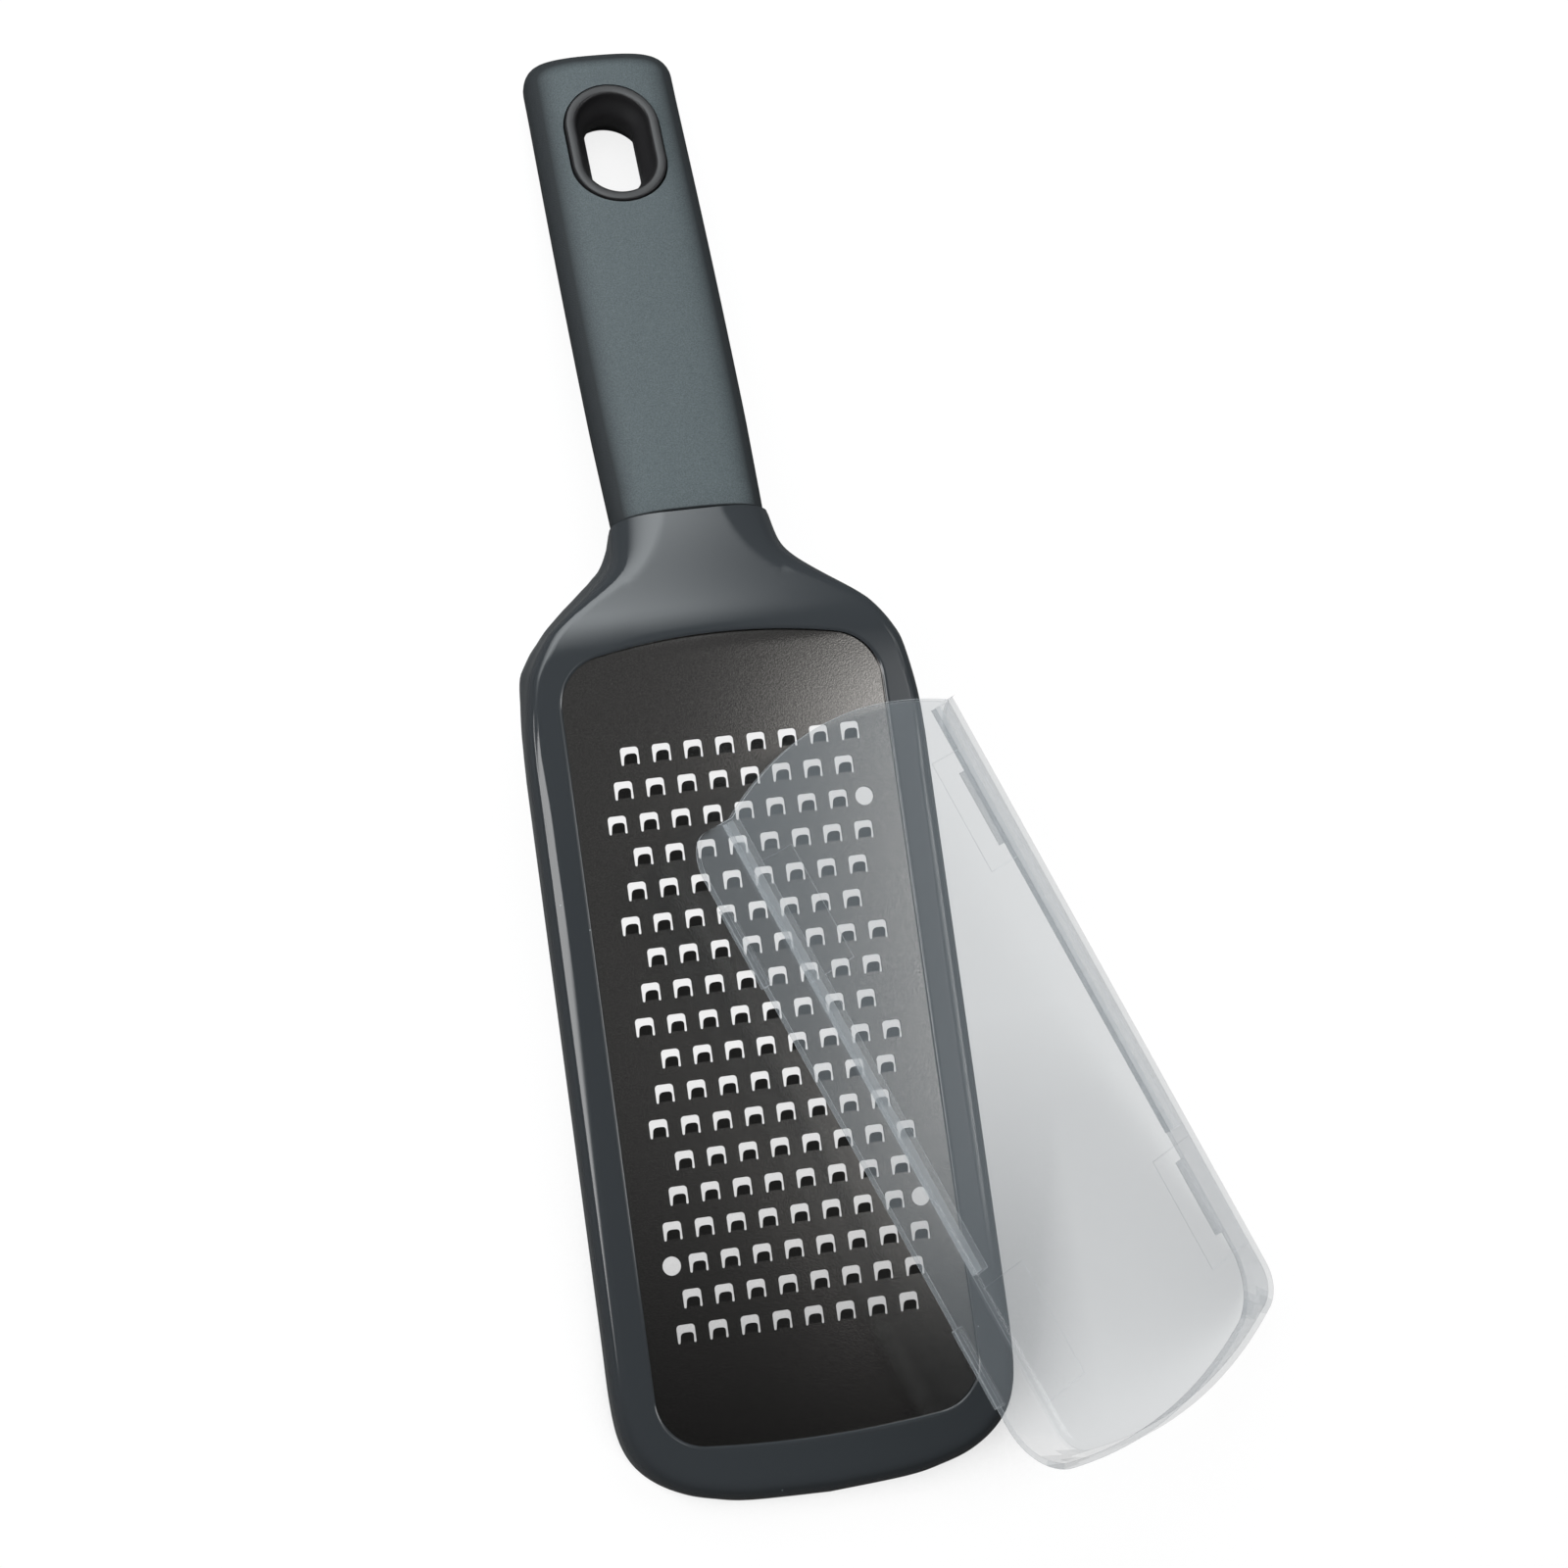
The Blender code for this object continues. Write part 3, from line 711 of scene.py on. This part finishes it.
hole = {
    "fromEnd": 0.0228,
    "halfWidth": 0.0093,
    "halfLength": 0.0134,
    "mouthWidth": 0.0077,
    "mouthLength": 0.0119,
    "throatWidth": 0.0049,
    "throatLength": 0.0092,
    "throatSteps": 8,
    "proud": 0.0003,
    "rimDrop": 0.0005,
    "rimRound": 0.0004,
    "mouthRound": 0.0006,
    "around": 96,
    "cutPast": 0.003,
    "colour": (0.017, 0.0165, 0.0175),
    "roughness": 0.38,
}


def roundedRing(halfWidth, top, bottom):
    middle = (top + bottom) / 2
    half = (top - bottom) / 2
    ring = []
    for i in range(grip["around"]):
        angle = 2 * math.pi * i / grip["around"]
        c, s = math.cos(angle), math.sin(angle)
        x = halfWidth * math.copysign(abs(c) ** (2 / grip["power"]), c)
        ring.append((x, middle + half * math.copysign(abs(s) ** (2 / grip["power"]), s)))
    return ring


def gripWidth(station):
    t = (station - head["seam"]) / (grip["end"] - head["seam"])
    swell = grip["swell"] * math.sin(math.pi * min(1.0, t / grip["swellEnd"]))
    return grip["halfWidth"] - grip["narrowing"] * (1 - min(1.0, t / grip["narrowEnd"])) + swell


def stadium(halfWidth, halfLength, count):
    straight = halfLength - halfWidth
    ring = []
    for i in range(count):
        angle = 2 * math.pi * (i + 0.5) / count
        c, s = math.cos(angle), math.sin(angle)
        ring.append((halfWidth * c, halfWidth * s + math.copysign(straight, s)))
    return ring


def holeRing(halfWidth, halfLength, level):
    centre = grip["end"] - hole["fromEnd"]
    outline = stadium(halfWidth, halfLength, hole["around"])
    return [stand(bend(x, centre + s, level)) for x, s in outline]


def buildGrip(material):
    corner = grip["corner"]
    body = np.linspace(grip["start"] + grip["bodyStart"], grip["end"] - corner, grip["bodyRings"])
    stations = [(grip["start"] + along, back) for along, back in grip["startRound"]]
    stations += [(s, 0.0) for s in body]
    for angle in grip["endAngles"]:
        stations.append((grip["end"] - corner * (1 - math.sin(math.radians(angle))), 0.0))
    rings = []
    for station, back in stations:
        into = max(0.0, station - (grip["end"] - corner)) / corner
        pinch = math.sqrt(max(0.0, 1 - into ** 2))
        half = gripWidth(station) - corner * grip["endWidth"] * (1 - pinch) - back
        top = grip["top"] - grip["endDepth"] * (1 - pinch) - back
        bottom = grip["bottom"] + grip["endDepth"] * (1 - pinch) + back
        rings.append([stand(bend(x, station, z)) for x, z in roundedRing(half, top, bottom)])
    made = loft("gripSkin", rings, material, closed=False)
    wide = hole["halfWidth"] + head["gap"]
    long = hole["halfLength"] + head["gap"]
    levels = (grip["bottom"] - hole["cutPast"], grip["top"] + hole["cutPast"])
    cutter = loft("holeCutter", [holeRing(wide, long, level) for level in levels], material, closed=False)
    change = made.modifiers.new("hole", "BOOLEAN")
    change.operation = "DIFFERENCE"
    change.solver = "EXACT"
    change.object = cutter
    graph = bpy.context.evaluated_depsgraph_get()
    cutMesh = bpy.data.meshes.new_from_object(made.evaluated_get(graph))
    made.modifiers.clear()
    made.data = cutMesh
    bpy.data.objects.remove(cutter, do_unlink=True)
    sharpenOver(made, degrees=35)
    return made


def linerHalf(sign, face, middle):
    rim, mouth = hole["rimRound"], hole["mouthRound"]
    half = [(hole["halfWidth"], hole["halfLength"], face - sign * hole["rimDrop"])]
    for angle in (20, 45, 70, 90):
        turn = math.radians(angle)
        back = rim * (1 - math.cos(turn))
        level = face - sign * rim * (1 - math.sin(turn))
        half.append((hole["halfWidth"] - back, hole["halfLength"] - back, level))
    for angle in (0, 25, 50, 75):
        turn = math.radians(angle)
        into = mouth * math.sin(turn)
        level = face - sign * mouth * (1 - math.cos(turn))
        half.append((hole["mouthWidth"] - into, hole["mouthLength"] - into, level))
    for i in range(1, hole["throatSteps"] + 1):
        t = i / hole["throatSteps"]
        ease = 0.5 - 0.5 * math.cos(math.pi * t)
        wide = hole["mouthWidth"] - mouth + (hole["throatWidth"] - hole["mouthWidth"] + mouth) * ease
        long = hole["mouthLength"] - mouth + (hole["throatLength"] - hole["mouthLength"] + mouth) * ease
        half.append((wide, long, face - sign * (mouth + (abs(face - middle) - 2 * mouth) * t)))
    return half


def buildLiner(material):
    top = grip["top"] + hole["proud"]
    bottom = grip["bottom"] - hole["proud"]
    middle = (top + bottom) / 2
    order = list(reversed(linerHalf(1, top, middle))) + linerHalf(-1, bottom, middle)
    rings = [holeRing(*section) for section in reversed(order)]
    made = loft("linerSkin", rings, material)
    sharpenOver(made, degrees=40)
    return made


def gripMaterial():
    material, shader = newMaterial("soft_grey_grip", grip["colour"], grip["roughness"])
    tree = material.node_tree
    shader.inputs["Specular IOR Level"].default_value = grip["specular"]
    grain = useGroup(tree, "grain", **grip["grain"])
    spread = mapValue(tree, grain.outputs["Value"], *grip["speckle"], 0.0, 1.0)
    facing = addNode(tree, "ShaderNodeNewGeometry")
    split = addNode(tree, "ShaderNodeSeparateXYZ")
    feed(tree, split.inputs[0], facing.outputs["Normal"])
    # Painted shade: faces that turn away from straight up darken toward the flank shade colour.
    upward = mapValue(tree, split.outputs["Z"], *grip["upward"], 0.0, 1.0)
    colour = mixColour(tree, upward, grip["paintedFlankShade"], mixColour(tree, spread, *grip["tones"]))
    feed(tree, shader.inputs["Base Color"], colour)
    feed(tree, shader.inputs["Normal"], grain.outputs["Normal"])
    return material


def linerMaterial():
    return newMaterial("dark_liner", hole["colour"], hole["roughness"])[0]


gripSkin = buildGrip(gripMaterial())
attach(gripSkin, "grater")
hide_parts("handle_grip")
linerSkin = buildLiner(linerMaterial())
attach(linerSkin, "grater")
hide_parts("hanging_hole_liner")
print("scene: grip and liner built")


# The cover: a clear shell open at the handle end, with hooked clips, ribs and faint mould windows.
cover = {
    "wall": 0.0012,
    "footHalf": 0.0395,
    "cornerHalf": 0.0369,
    "cornerHeight": 0.0069,
    "faceHeight": 0.0082,
    "round": 0.0030,
    "openBow": 0.0069,
    "bowSteps": 40,
    "openEdge": -0.0135,
    "wallStart": -0.0057,
    "endWall": 0.0009,
    "tip": 0.1208,
    "tipBow": 0.0064,
    "tipSplay": 0.0008,
    "footRadius": 0.0140,
    "faceRadius": 0.0077,
    "leastRadius": 0.0008,
    "tipSteps": 44,
    "sideStations": (0.0850, 0.0450, 0.0050),
    "clipLength": 0.0157,
    "clipStarts": (0.0, 0.0849),
    "clipRoot": 0.0012,
    "clipDrop": 0.00085,
    "clipHook": 0.0016,
    "clipOutside": ((0.0001, 0.0002), (0.0004, 0.0)),  # in from the foot, up from the drop
    "clipInside": ((0.0006, 0.0), (0.0002, 0.0005)),  # back from the hook, up from the drop
    "ribStart": -0.0130,
    "ribEnd": 0.0780,
    "ribInset": 0.0041,
    "ribWidth": 0.0030,
    "ribDrop": 0.0014,
    "ribTaper": 0.0001,
    "windowHalf": 0.0224,
    "windowPast": 0.0032,
    "windowBefore": 0.0042,
    "windowAfter": 0.0031,
    "windowStep": 0.00007,
    "turn": math.radians(26.9),
    "lean": math.radians(31.5),
    "pitch": math.radians(9.5),
    "place": (0.0177, 0.0307, 0.0356),
    "flatFace": 3e-5,  # faces larger than this stay flat
    "ribSide": 0.0002,
    "ribUnder": 0.00012,
    "hookThick": 0.3,
    "steepFade": (1.3, 1.6),
    "clearColour": (0.36, 0.40, 0.43),
    "hazeAndGlintColour": (0.84, 0.88, 0.91),
    "alphas": (0.22, 0.68),
    "wallAlpha": 0.55,
    "thickHazeAndShine": 0.62,
    "edgeRound": 0.00025,
    "edgeTurn": (0.995, 0.86),  # cosine of the turn at which an edge's painted highlight begins, and where it is full
    "roughness": 0.08,
}


def tipCurve(inset, halfWidth, tip, cornerRadius):
    radius = max(cover["leastRadius"], cornerRadius - inset)
    side = halfWidth - inset
    lean = math.atan(2 * cover["tipBow"] * side / cover["cornerHalf"] ** 2)
    meet = side - radius + radius * math.sin(lean)

    def arc(x):
        return tip - inset - cover["tipBow"] * (x / cover["cornerHalf"]) ** 2

    line = [Vector((meet * i / arcSteps, arc(meet * i / arcSteps))) for i in range(arcSteps + 1)]
    corner = Vector((side - radius, arc(meet) - radius * math.cos(lean)))
    for i in range(1, arcSteps + 1):
        angle = (math.pi / 2 - lean) * (1 - i / arcSteps)
        line.append(corner + radius * Vector((math.cos(angle), math.sin(angle))))
    return evenSteps(line, cover["tipSteps"])


def wallStations():
    reach = cover["wallStart"] - cover["openEdge"]
    rise = cover["cornerHeight"] - cover["endWall"]
    found = [(station, 0.0) for station in cover["sideStations"]]
    for angle in (0, 10, 20, 30, 40, 50, 60, 70, 80, 88):
        turn = math.radians(angle)
        found.append((cover["wallStart"] - reach * math.sin(turn), rise * (1 - math.cos(turn))))
    return found


def wallSection():
    rise = cover["faceHeight"] - cover["cornerHeight"]
    outer = []
    inner = []
    for share in (0.0, 0.5, 1.0):
        side = cover["footHalf"] + (cover["cornerHalf"] - cover["footHalf"]) * share
        tip = cover["tip"] + cover["tipSplay"] * (1 - share)
        radius = cover["footRadius"] + (cover["faceRadius"] - cover["footRadius"]) * share
        outer.append((0.0, side, tip, radius, share, None))
        inner.append((cover["wall"], side, tip, radius, share, None))
    for angle in (12, 25, 38, 51, 64, 77, 90):
        turn = math.radians(angle)
        inset = cover["round"] * (1 - math.cos(turn))
        level = cover["cornerHeight"] + rise * math.sin(turn)
        shape = (cover["cornerHalf"], cover["tip"], cover["faceRadius"], 1.0)
        outer.append((inset, *shape, level))
        into, down = cover["wall"] * math.cos(turn), cover["wall"] * math.sin(turn)
        inner.append((inset + into, *shape, level - down))
    return outer + list(reversed(inner))


def sectionRing(inset, side, tip, radius, share, level):
    right = [(p.x, p.y, 0.0) for p in tipCurve(inset, side, tip, radius)]
    right += [(side - inset, v, foot) for v, foot in wallStations()]
    ring = []
    for x, v, foot in right:
        ring.append((x, -v, foot + (cover["cornerHeight"] - foot) * share if level is None else level))
    return [(-x, y, z) for x, y, z in reversed(ring[1:])] + ring


def buildShell(material):
    section = wallSection()
    rings = [sectionRing(*values) for values in section]
    points = [p for ring in rings for p in ring]
    count = len(rings[0])
    total = len(rings)
    half = total // 2
    faces = []
    for ring in range(total):
        if ring != half - 1:
            a = ring * count
            b = (ring + 1) % total * count
            faces += [(a + j, a + j + 1, b + j + 1, b + j) for j in range(count - 1)]
    for k in range(half - 1):
        twin = total - 1 - k
        for j in (0, count - 1):
            faces.append((k * count + j, (k + 1) * count + j, (twin - 1) * count + j, twin * count + j))
    width = cover["cornerHalf"] - cover["round"]
    arcs = []
    for ring in (half - 1, half):
        level = points[ring * count][2]
        arc = []
        for i in range(1, cover["bowSteps"]):
            x = width * (1 - 2 * i / cover["bowSteps"])
            arc.append(len(points))
            points.append((x, -cover["openEdge"] + cover["openBow"] * (1 - (x / width) ** 2), level))
        arcs.append([ring * count + count - 1] + arc + [ring * count])
        faces.append(tuple(ring * count + j for j in range(count)) + tuple(arc))
    for i in range(len(arcs[0]) - 1):
        faces.append((arcs[0][i], arcs[0][i + 1], arcs[1][i + 1], arcs[1][i]))
    made = meshObject("coverSkin", points, faces, material)
    faceOutward(made)
    return made


def bar(profile, start, end, material):
    rings = [[(u, -v, w) for u, w in profile] for v in (start, end)]
    return loft("bar", rings, material, closed=False)


def coverBars(material):
    wall = cover["wall"]
    foot = cover["footHalf"]
    inner = foot - wall
    root = cover["clipRoot"]
    drop = cover["clipDrop"]
    slope = (foot - cover["cornerHalf"]) / cover["cornerHeight"] * root
    roof = cover["faceHeight"] - wall
    middle = cover["cornerHalf"] - cover["ribInset"]
    reach = cover["ribWidth"] / 2
    found = []
    for side in (-1, 1):
        hook = [(side * (foot - wall / 3 - slope), root)]
        hook += [(side * (foot - into), -drop + up) for into, up in cover["clipOutside"]]
        hook += [(side * (inner - cover["clipHook"] + back), -drop + up) for back, up in cover["clipInside"]]
        hook.append((side * (inner + wall / 4 - slope), root))
        window = (
            (side * cover["windowHalf"], roof + wall / 4),
            (side * cover["windowHalf"], roof - cover["windowStep"]),
            (side * (middle + cover["windowPast"]), roof - cover["windowStep"]),
            (side * (middle + cover["windowPast"]), roof + wall / 4),
        )
        rib = (
            (side * (middle - reach - cover["ribTaper"]), roof + wall / 3),
            (side * (middle - reach), roof - cover["ribDrop"]),
            (side * (middle + reach), roof - cover["ribDrop"]),
            (side * (middle + reach + cover["ribTaper"]), roof + wall / 3),
        )
        for start in cover["clipStarts"]:
            end = start + cover["clipLength"]
            found.append(bar(hook, start, end, material))
            found.append(bar(window, start - cover["windowBefore"], end + cover["windowAfter"], material))
        found.append(bar(rib, cover["ribStart"], cover["ribEnd"], material))
    return found


def markThick(mesh):
    roof = cover["faceHeight"] - cover["wall"]
    middle = cover["cornerHalf"] - cover["ribInset"]
    reach = cover["ribWidth"] / 2 + cover["ribSide"]
    full, slope = cover["steepFade"]
    thick = mesh.attributes.new("thick", "FLOAT", "FACE")
    steep = mesh.attributes.new("steep", "FLOAT", "FACE")
    for face in mesh.polygons:
        x, y, z = face.center
        steep.data[face.index].value = max(0.0, min(1.0, full - slope * abs(face.normal.z)))
        onRib = abs(abs(x) - middle) < reach and z < roof - cover["ribUnder"]
        onHook = z < cover["clipRoot"] and abs(x) < cover["footHalf"] - cover["wall"] / 4
        thick.data[face.index].value = 1.0 if onRib else cover["hookThick"] * onHook


def buildCover(material):
    made = buildShell(material)
    bars = coverBars(material)
    for item in bars:
        join = made.modifiers.new(item.name, "BOOLEAN")
        join.operation = "UNION"
        join.solver = "EXACT"
        join.object = item
    graph = bpy.context.evaluated_depsgraph_get()
    joined = bpy.data.meshes.new_from_object(made.evaluated_get(graph))
    made.modifiers.clear()
    made.data = joined
    for item in bars:
        bpy.data.objects.remove(item, do_unlink=True)
    markThick(made.data)
    turn = Matrix.Rotation(cover["turn"], 4, "Z") @ Matrix.Rotation(cover["lean"], 4, "Y")
    turn = turn @ Matrix.Rotation(cover["pitch"], 4, "X")
    origin = Vector(cover["place"]) - Vector((*stance["centre"], 0))
    made.data.transform(Matrix.Translation(origin) @ turn)
    for face in made.data.polygons:
        face.use_smooth = len(face.vertices) < 8 and face.area < cover["flatFace"]
    sharpenOver(made, degrees=28)
    return made


def roundGroup():
    tree, start, end = newGroup(
        "roundEdges",
        [("Radius", "NodeSocketFloat", 0.0003)],
        [("Edge", "NodeSocketFloat"), ("Normal", "NodeSocketVector")],
    )
    soft = addNode(tree, "ShaderNodeBevel", samples=6)
    plain = addNode(tree, "ShaderNodeNewGeometry")
    same = addNode(tree, "ShaderNodeVectorMath", operation="DOT_PRODUCT")
    feed(tree, soft.inputs["Radius"], start.outputs["Radius"])
    feed(tree, same.inputs[0], soft.outputs["Normal"])
    feed(tree, same.inputs[1], plain.outputs["Normal"])
    # The edge mask marks where the rounded normal turns; the cover paints highlights there.
    edge = mapValue(tree, same.outputs["Value"], *cover["edgeTurn"], 0.0, 1.0, smooth=True)
    feed(tree, end.inputs["Edge"], edge)
    feed(tree, end.inputs["Normal"], soft.outputs["Normal"])
    return tree


groups["round"] = roundGroup()


def coverMaterial():
    material, shader = newMaterial("clear_plastic", cover["clearColour"], cover["roughness"])
    tree = material.node_tree
    rounded = useGroup(tree, "round", Radius=cover["edgeRound"])
    thick = addNode(tree, "ShaderNodeAttribute", attribute_name="thick").outputs["Fac"]
    steep = addNode(tree, "ShaderNodeAttribute", attribute_name="steep").outputs["Fac"]
    thick = combine(tree, "MULTIPLY", thick, cover["thickHazeAndShine"])
    # Painted highlights: near edges the cover turns pale and less clear, standing in for light caught by its
    # edges. On ribs and hooks the same pale tone is partly the haze of thicker plastic and partly painted
    # refraction light.
    hazeAndGlint = combine(tree, "MAXIMUM", thick, rounded.outputs["Edge"])
    alpha = mapValue(tree, hazeAndGlint, 0.0, 1.0, *cover["alphas"])
    clearer = mapValue(tree, steep, 0.0, 1.0, 1.0, cover["wallAlpha"])
    colour = mixColour(tree, hazeAndGlint, cover["clearColour"], cover["hazeAndGlintColour"])
    feed(tree, shader.inputs["Base Color"], colour)
    feed(tree, shader.inputs["Alpha"], combine(tree, "MULTIPLY", alpha, clearer))
    feed(tree, shader.inputs["Normal"], rounded.outputs["Normal"])
    return material


coverSkin = buildCover(coverMaterial())
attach(coverSkin, "cover")
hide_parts("blade_cover")
print("scene: cover built")

# Light and surroundings: feathered boxes in a dim room, over a pale floor. An edge is a direction,
# the distance along it where the box ends, and the width over which it fades.
boxes = {
    "backBox": {
        "x": (-1.10, 0.25),
        "y": (0.00, 1.20),
        "radiance": 5.3,
        "colour": (0.93, 0.98, 1.0),
        "edges": (
            ((1, 0), 0.20, 0.10),
            ((0.87, -0.49), 0.01, 0.22),
            ((0, -1), -0.05, 0.13),
            ((-1, 0), 0.80, 0.9),
        ),
    },
    "leftBox": {
        "x": (-1.60, -0.08),
        "y": (-0.35, 0.40),
        "radiance": 6.6,
        "edges": (((1, 0), -0.10, 0.12), ((0.124, -0.992), 0.11, 0.06), ((0.21, 0.977), 0.025, 0.05)),
    },
    "rightBox": {
        "x": (0.28, 1.30),
        "y": (-0.25, 0.04),
        "radiance": 7.0,
        "edges": (((-1, 0), -0.30, 0.50), ((0, -1), 0.24, 0.07), ((0, 1), 0.03, 0.07)),
    },
    "rightWall": {
        "x": (0.10, 0.50),
        "y": (-0.32, 0.12),
        "radiance": 1.9,
        "edges": (((-1, 0), -0.11, 0.10), ((0, -1), 0.25, 0.09), ((0, 1), 0.12, 0.10)),
    },
}
room = {
    "boxHeight": 0.70,
    "tint": (0.95, 0.98, 1.0),
    "ambient": 0.08,
    # What glossy faces see past the boxes: two places along Y, and the strength at each.
    "mirror": (-0.215, -0.11, 0.003, 0.075),
    "front": (-0.75, -0.35, 0.03, 0.0),
}


def edgeGroup():
    tree, start, end = newGroup(
        "softEdge",
        [
            ("Place", "NodeSocketVector", (0, 0, 0)),
            ("Direction", "NodeSocketVector", (1, 0, 0)),
            ("End", "NodeSocketFloat", 0.0),
            ("Fade", "NodeSocketFloat", 0.1),
        ],
        [("Mask", "NodeSocketFloat")],
    )
    along = addNode(tree, "ShaderNodeVectorMath", operation="DOT_PRODUCT")
    feed(tree, along.inputs[0], start.outputs["Place"])
    feed(tree, along.inputs[1], start.outputs["Direction"])
    short = combine(tree, "SUBTRACT", start.outputs["End"], along.outputs["Value"])
    mask = mapValue(tree, short, 0.0, start.outputs["Fade"], 0.0, 1.0, smooth=True)
    feed(tree, end.inputs["Mask"], mask)
    return tree


groups["edge"] = edgeGroup()


def addBox(name, settings):
    x, y = settings["x"], settings["y"]
    data = bpy.data.lights.new(name, "AREA")
    data.shape = "RECTANGLE"
    data.color = settings.get("colour", (1, 1, 1))
    data.size = x[1] - x[0]
    data.size_y = y[1] - y[0]
    data.energy = settings["radiance"] * math.pi * data.size * data.size_y
    data.use_nodes = True
    tree = data.node_tree
    place = addNode(tree, "ShaderNodeNewGeometry")
    mask = 1.0
    for direction, limit, fade in settings["edges"]:
        edge = useGroup(tree, "edge", Direction=(*direction, 0), End=limit, Fade=fade)
        feed(tree, edge.inputs["Place"], place.outputs["Position"])
        mask = combine(tree, "MULTIPLY", edge.outputs["Mask"], mask)
    feed(tree, tree.nodes["Emission"].inputs["Strength"], mask)
    made = bpy.data.objects.new(name, data)
    bpy.context.scene.collection.objects.link(made)
    made.location = ((x[0] + x[1]) / 2, (y[0] + y[1]) / 2, room["boxHeight"])


for name, settings in boxes.items():
    addBox(name, settings)


def addBackground(tree, colour, strength):
    node = addNode(tree, "ShaderNodeBackground")
    feed(tree, node.inputs["Color"], colour)
    feed(tree, node.inputs["Strength"], strength)
    return node.outputs[0]


def mixShader(tree, factor, first, second):
    node = addNode(tree, "ShaderNodeMixShader")
    for i, given in enumerate((factor, first, second)):
        feed(tree, node.inputs[i], given)
    return node.outputs[0]


def buildWorld():
    world = bpy.data.worlds.new("surroundings")
    bpy.context.scene.world = world
    world.use_nodes = True
    tree = world.node_tree
    tree.nodes.clear()
    path = addNode(tree, "ShaderNodeLightPath")
    place = addNode(tree, "ShaderNodeTexCoord")
    split = addNode(tree, "ShaderNodeSeparateXYZ")
    feed(tree, split.inputs[0], place.outputs["Generated"])
    strengths = [mapValue(tree, split.outputs["Y"], *room[key], smooth=True) for key in ("mirror", "front")]
    soft = addBackground(tree, room["tint"], room["ambient"])
    mirror = addBackground(tree, room["tint"], combine(tree, "ADD", *strengths))
    white = addBackground(tree, (1, 1, 1), 1.0)
    lit = mixShader(tree, path.outputs["Is Glossy Ray"], soft, mirror)
    out = addNode(tree, "ShaderNodeOutputWorld")
    feed(tree, out.inputs["Surface"], mixShader(tree, path.outputs["Is Camera Ray"], lit, white))


buildWorld()

# The floor is white to the camera. Where the head stands over it, a painted shadow darkens it toward the tip
# and toward the left: two places along an axis, and the tone at each.
floor = {
    "half": 3.0,
    "level": -0.0002,
    "grey": 0.06,
    "bounce": 0.15,
    "seen": 0.95,
    "roughness": 0.9,
    "reach": 0.06,
    "open": (0.10, 0.50),
    "alongHead": (-0.122, -0.055, 0.33, 0.82),
    "acrossHead": (0.005, 0.030, 0.0, 0.68),
}


def buildFloor():
    grey = [floor["grey"]] * 3
    bounce = [floor["bounce"]] * 3
    material, shader = newMaterial("paleFloor", grey, floor["roughness"])
    tree = material.node_tree
    shader.inputs["Specular IOR Level"].default_value = 0.0
    feed(tree, shader.inputs["Emission Color"], (1, 1, 1))
    seen = addNode(tree, "ShaderNodeLightPath").outputs["Is Camera Ray"]
    near = addNode(tree, "ShaderNodeAmbientOcclusion", samples=6)
    near.inputs["Distance"].default_value = floor["reach"]
    place = addNode(tree, "ShaderNodeNewGeometry")
    split = addNode(tree, "ShaderNodeSeparateXYZ")
    feed(tree, split.inputs[0], place.outputs["Position"])
    low = mapValue(tree, split.outputs["Y"], *floor["alongHead"])
    clear = mapValue(tree, split.outputs["X"], *floor["acrossHead"])
    shaded = combine(tree, "MAXIMUM", low, clear)
    shade = mapValue(tree, near.outputs["AO"], *floor["open"], shaded, floor["seen"])
    feed(tree, shader.inputs["Base Color"], mixColour(tree, seen, bounce, grey))
    feed(tree, shader.inputs["Emission Strength"], combine(tree, "MULTIPLY", seen, shade))
    half, level = floor["half"], floor["level"]
    points = [(x * half, y * half, level) for x, y in ((-1, -1), (1, -1), (1, 1), (-1, 1))]
    meshObject("floor", points, [(0, 1, 2, 3)], material)


buildFloor()

# The camera stands where the photo was taken from.
view = {
    "at": (-0.1738, -0.1902, 0.7553),
    "forward": (0.2046, 0.2324, -0.9509),
    "up": (0.1159, 0.9588, 0.2593),
    "lens": 94.5,
    "sensor": 36.0,
    "nearest": 0.01,
}


def addCamera():
    data = bpy.data.cameras.new("photoView")
    data.lens = view["lens"]
    data.sensor_width = view["sensor"]
    data.clip_start = view["nearest"]
    made = bpy.data.objects.new("photoView", data)
    bpy.context.scene.collection.objects.link(made)
    forward = Vector(view["forward"]).normalized()
    right = forward.cross(Vector(view["up"])).normalized()
    up = right.cross(forward)
    turn = Matrix((right, up, -forward)).transposed().to_4x4()
    made.matrix_world = Matrix.Translation(view["at"]) @ turn
    bpy.context.scene.camera = made


addCamera()
bpy.context.scene.view_settings.view_transform = "Standard"
bpy.context.scene.view_settings.look = "None"
print("scene: camera and light set")
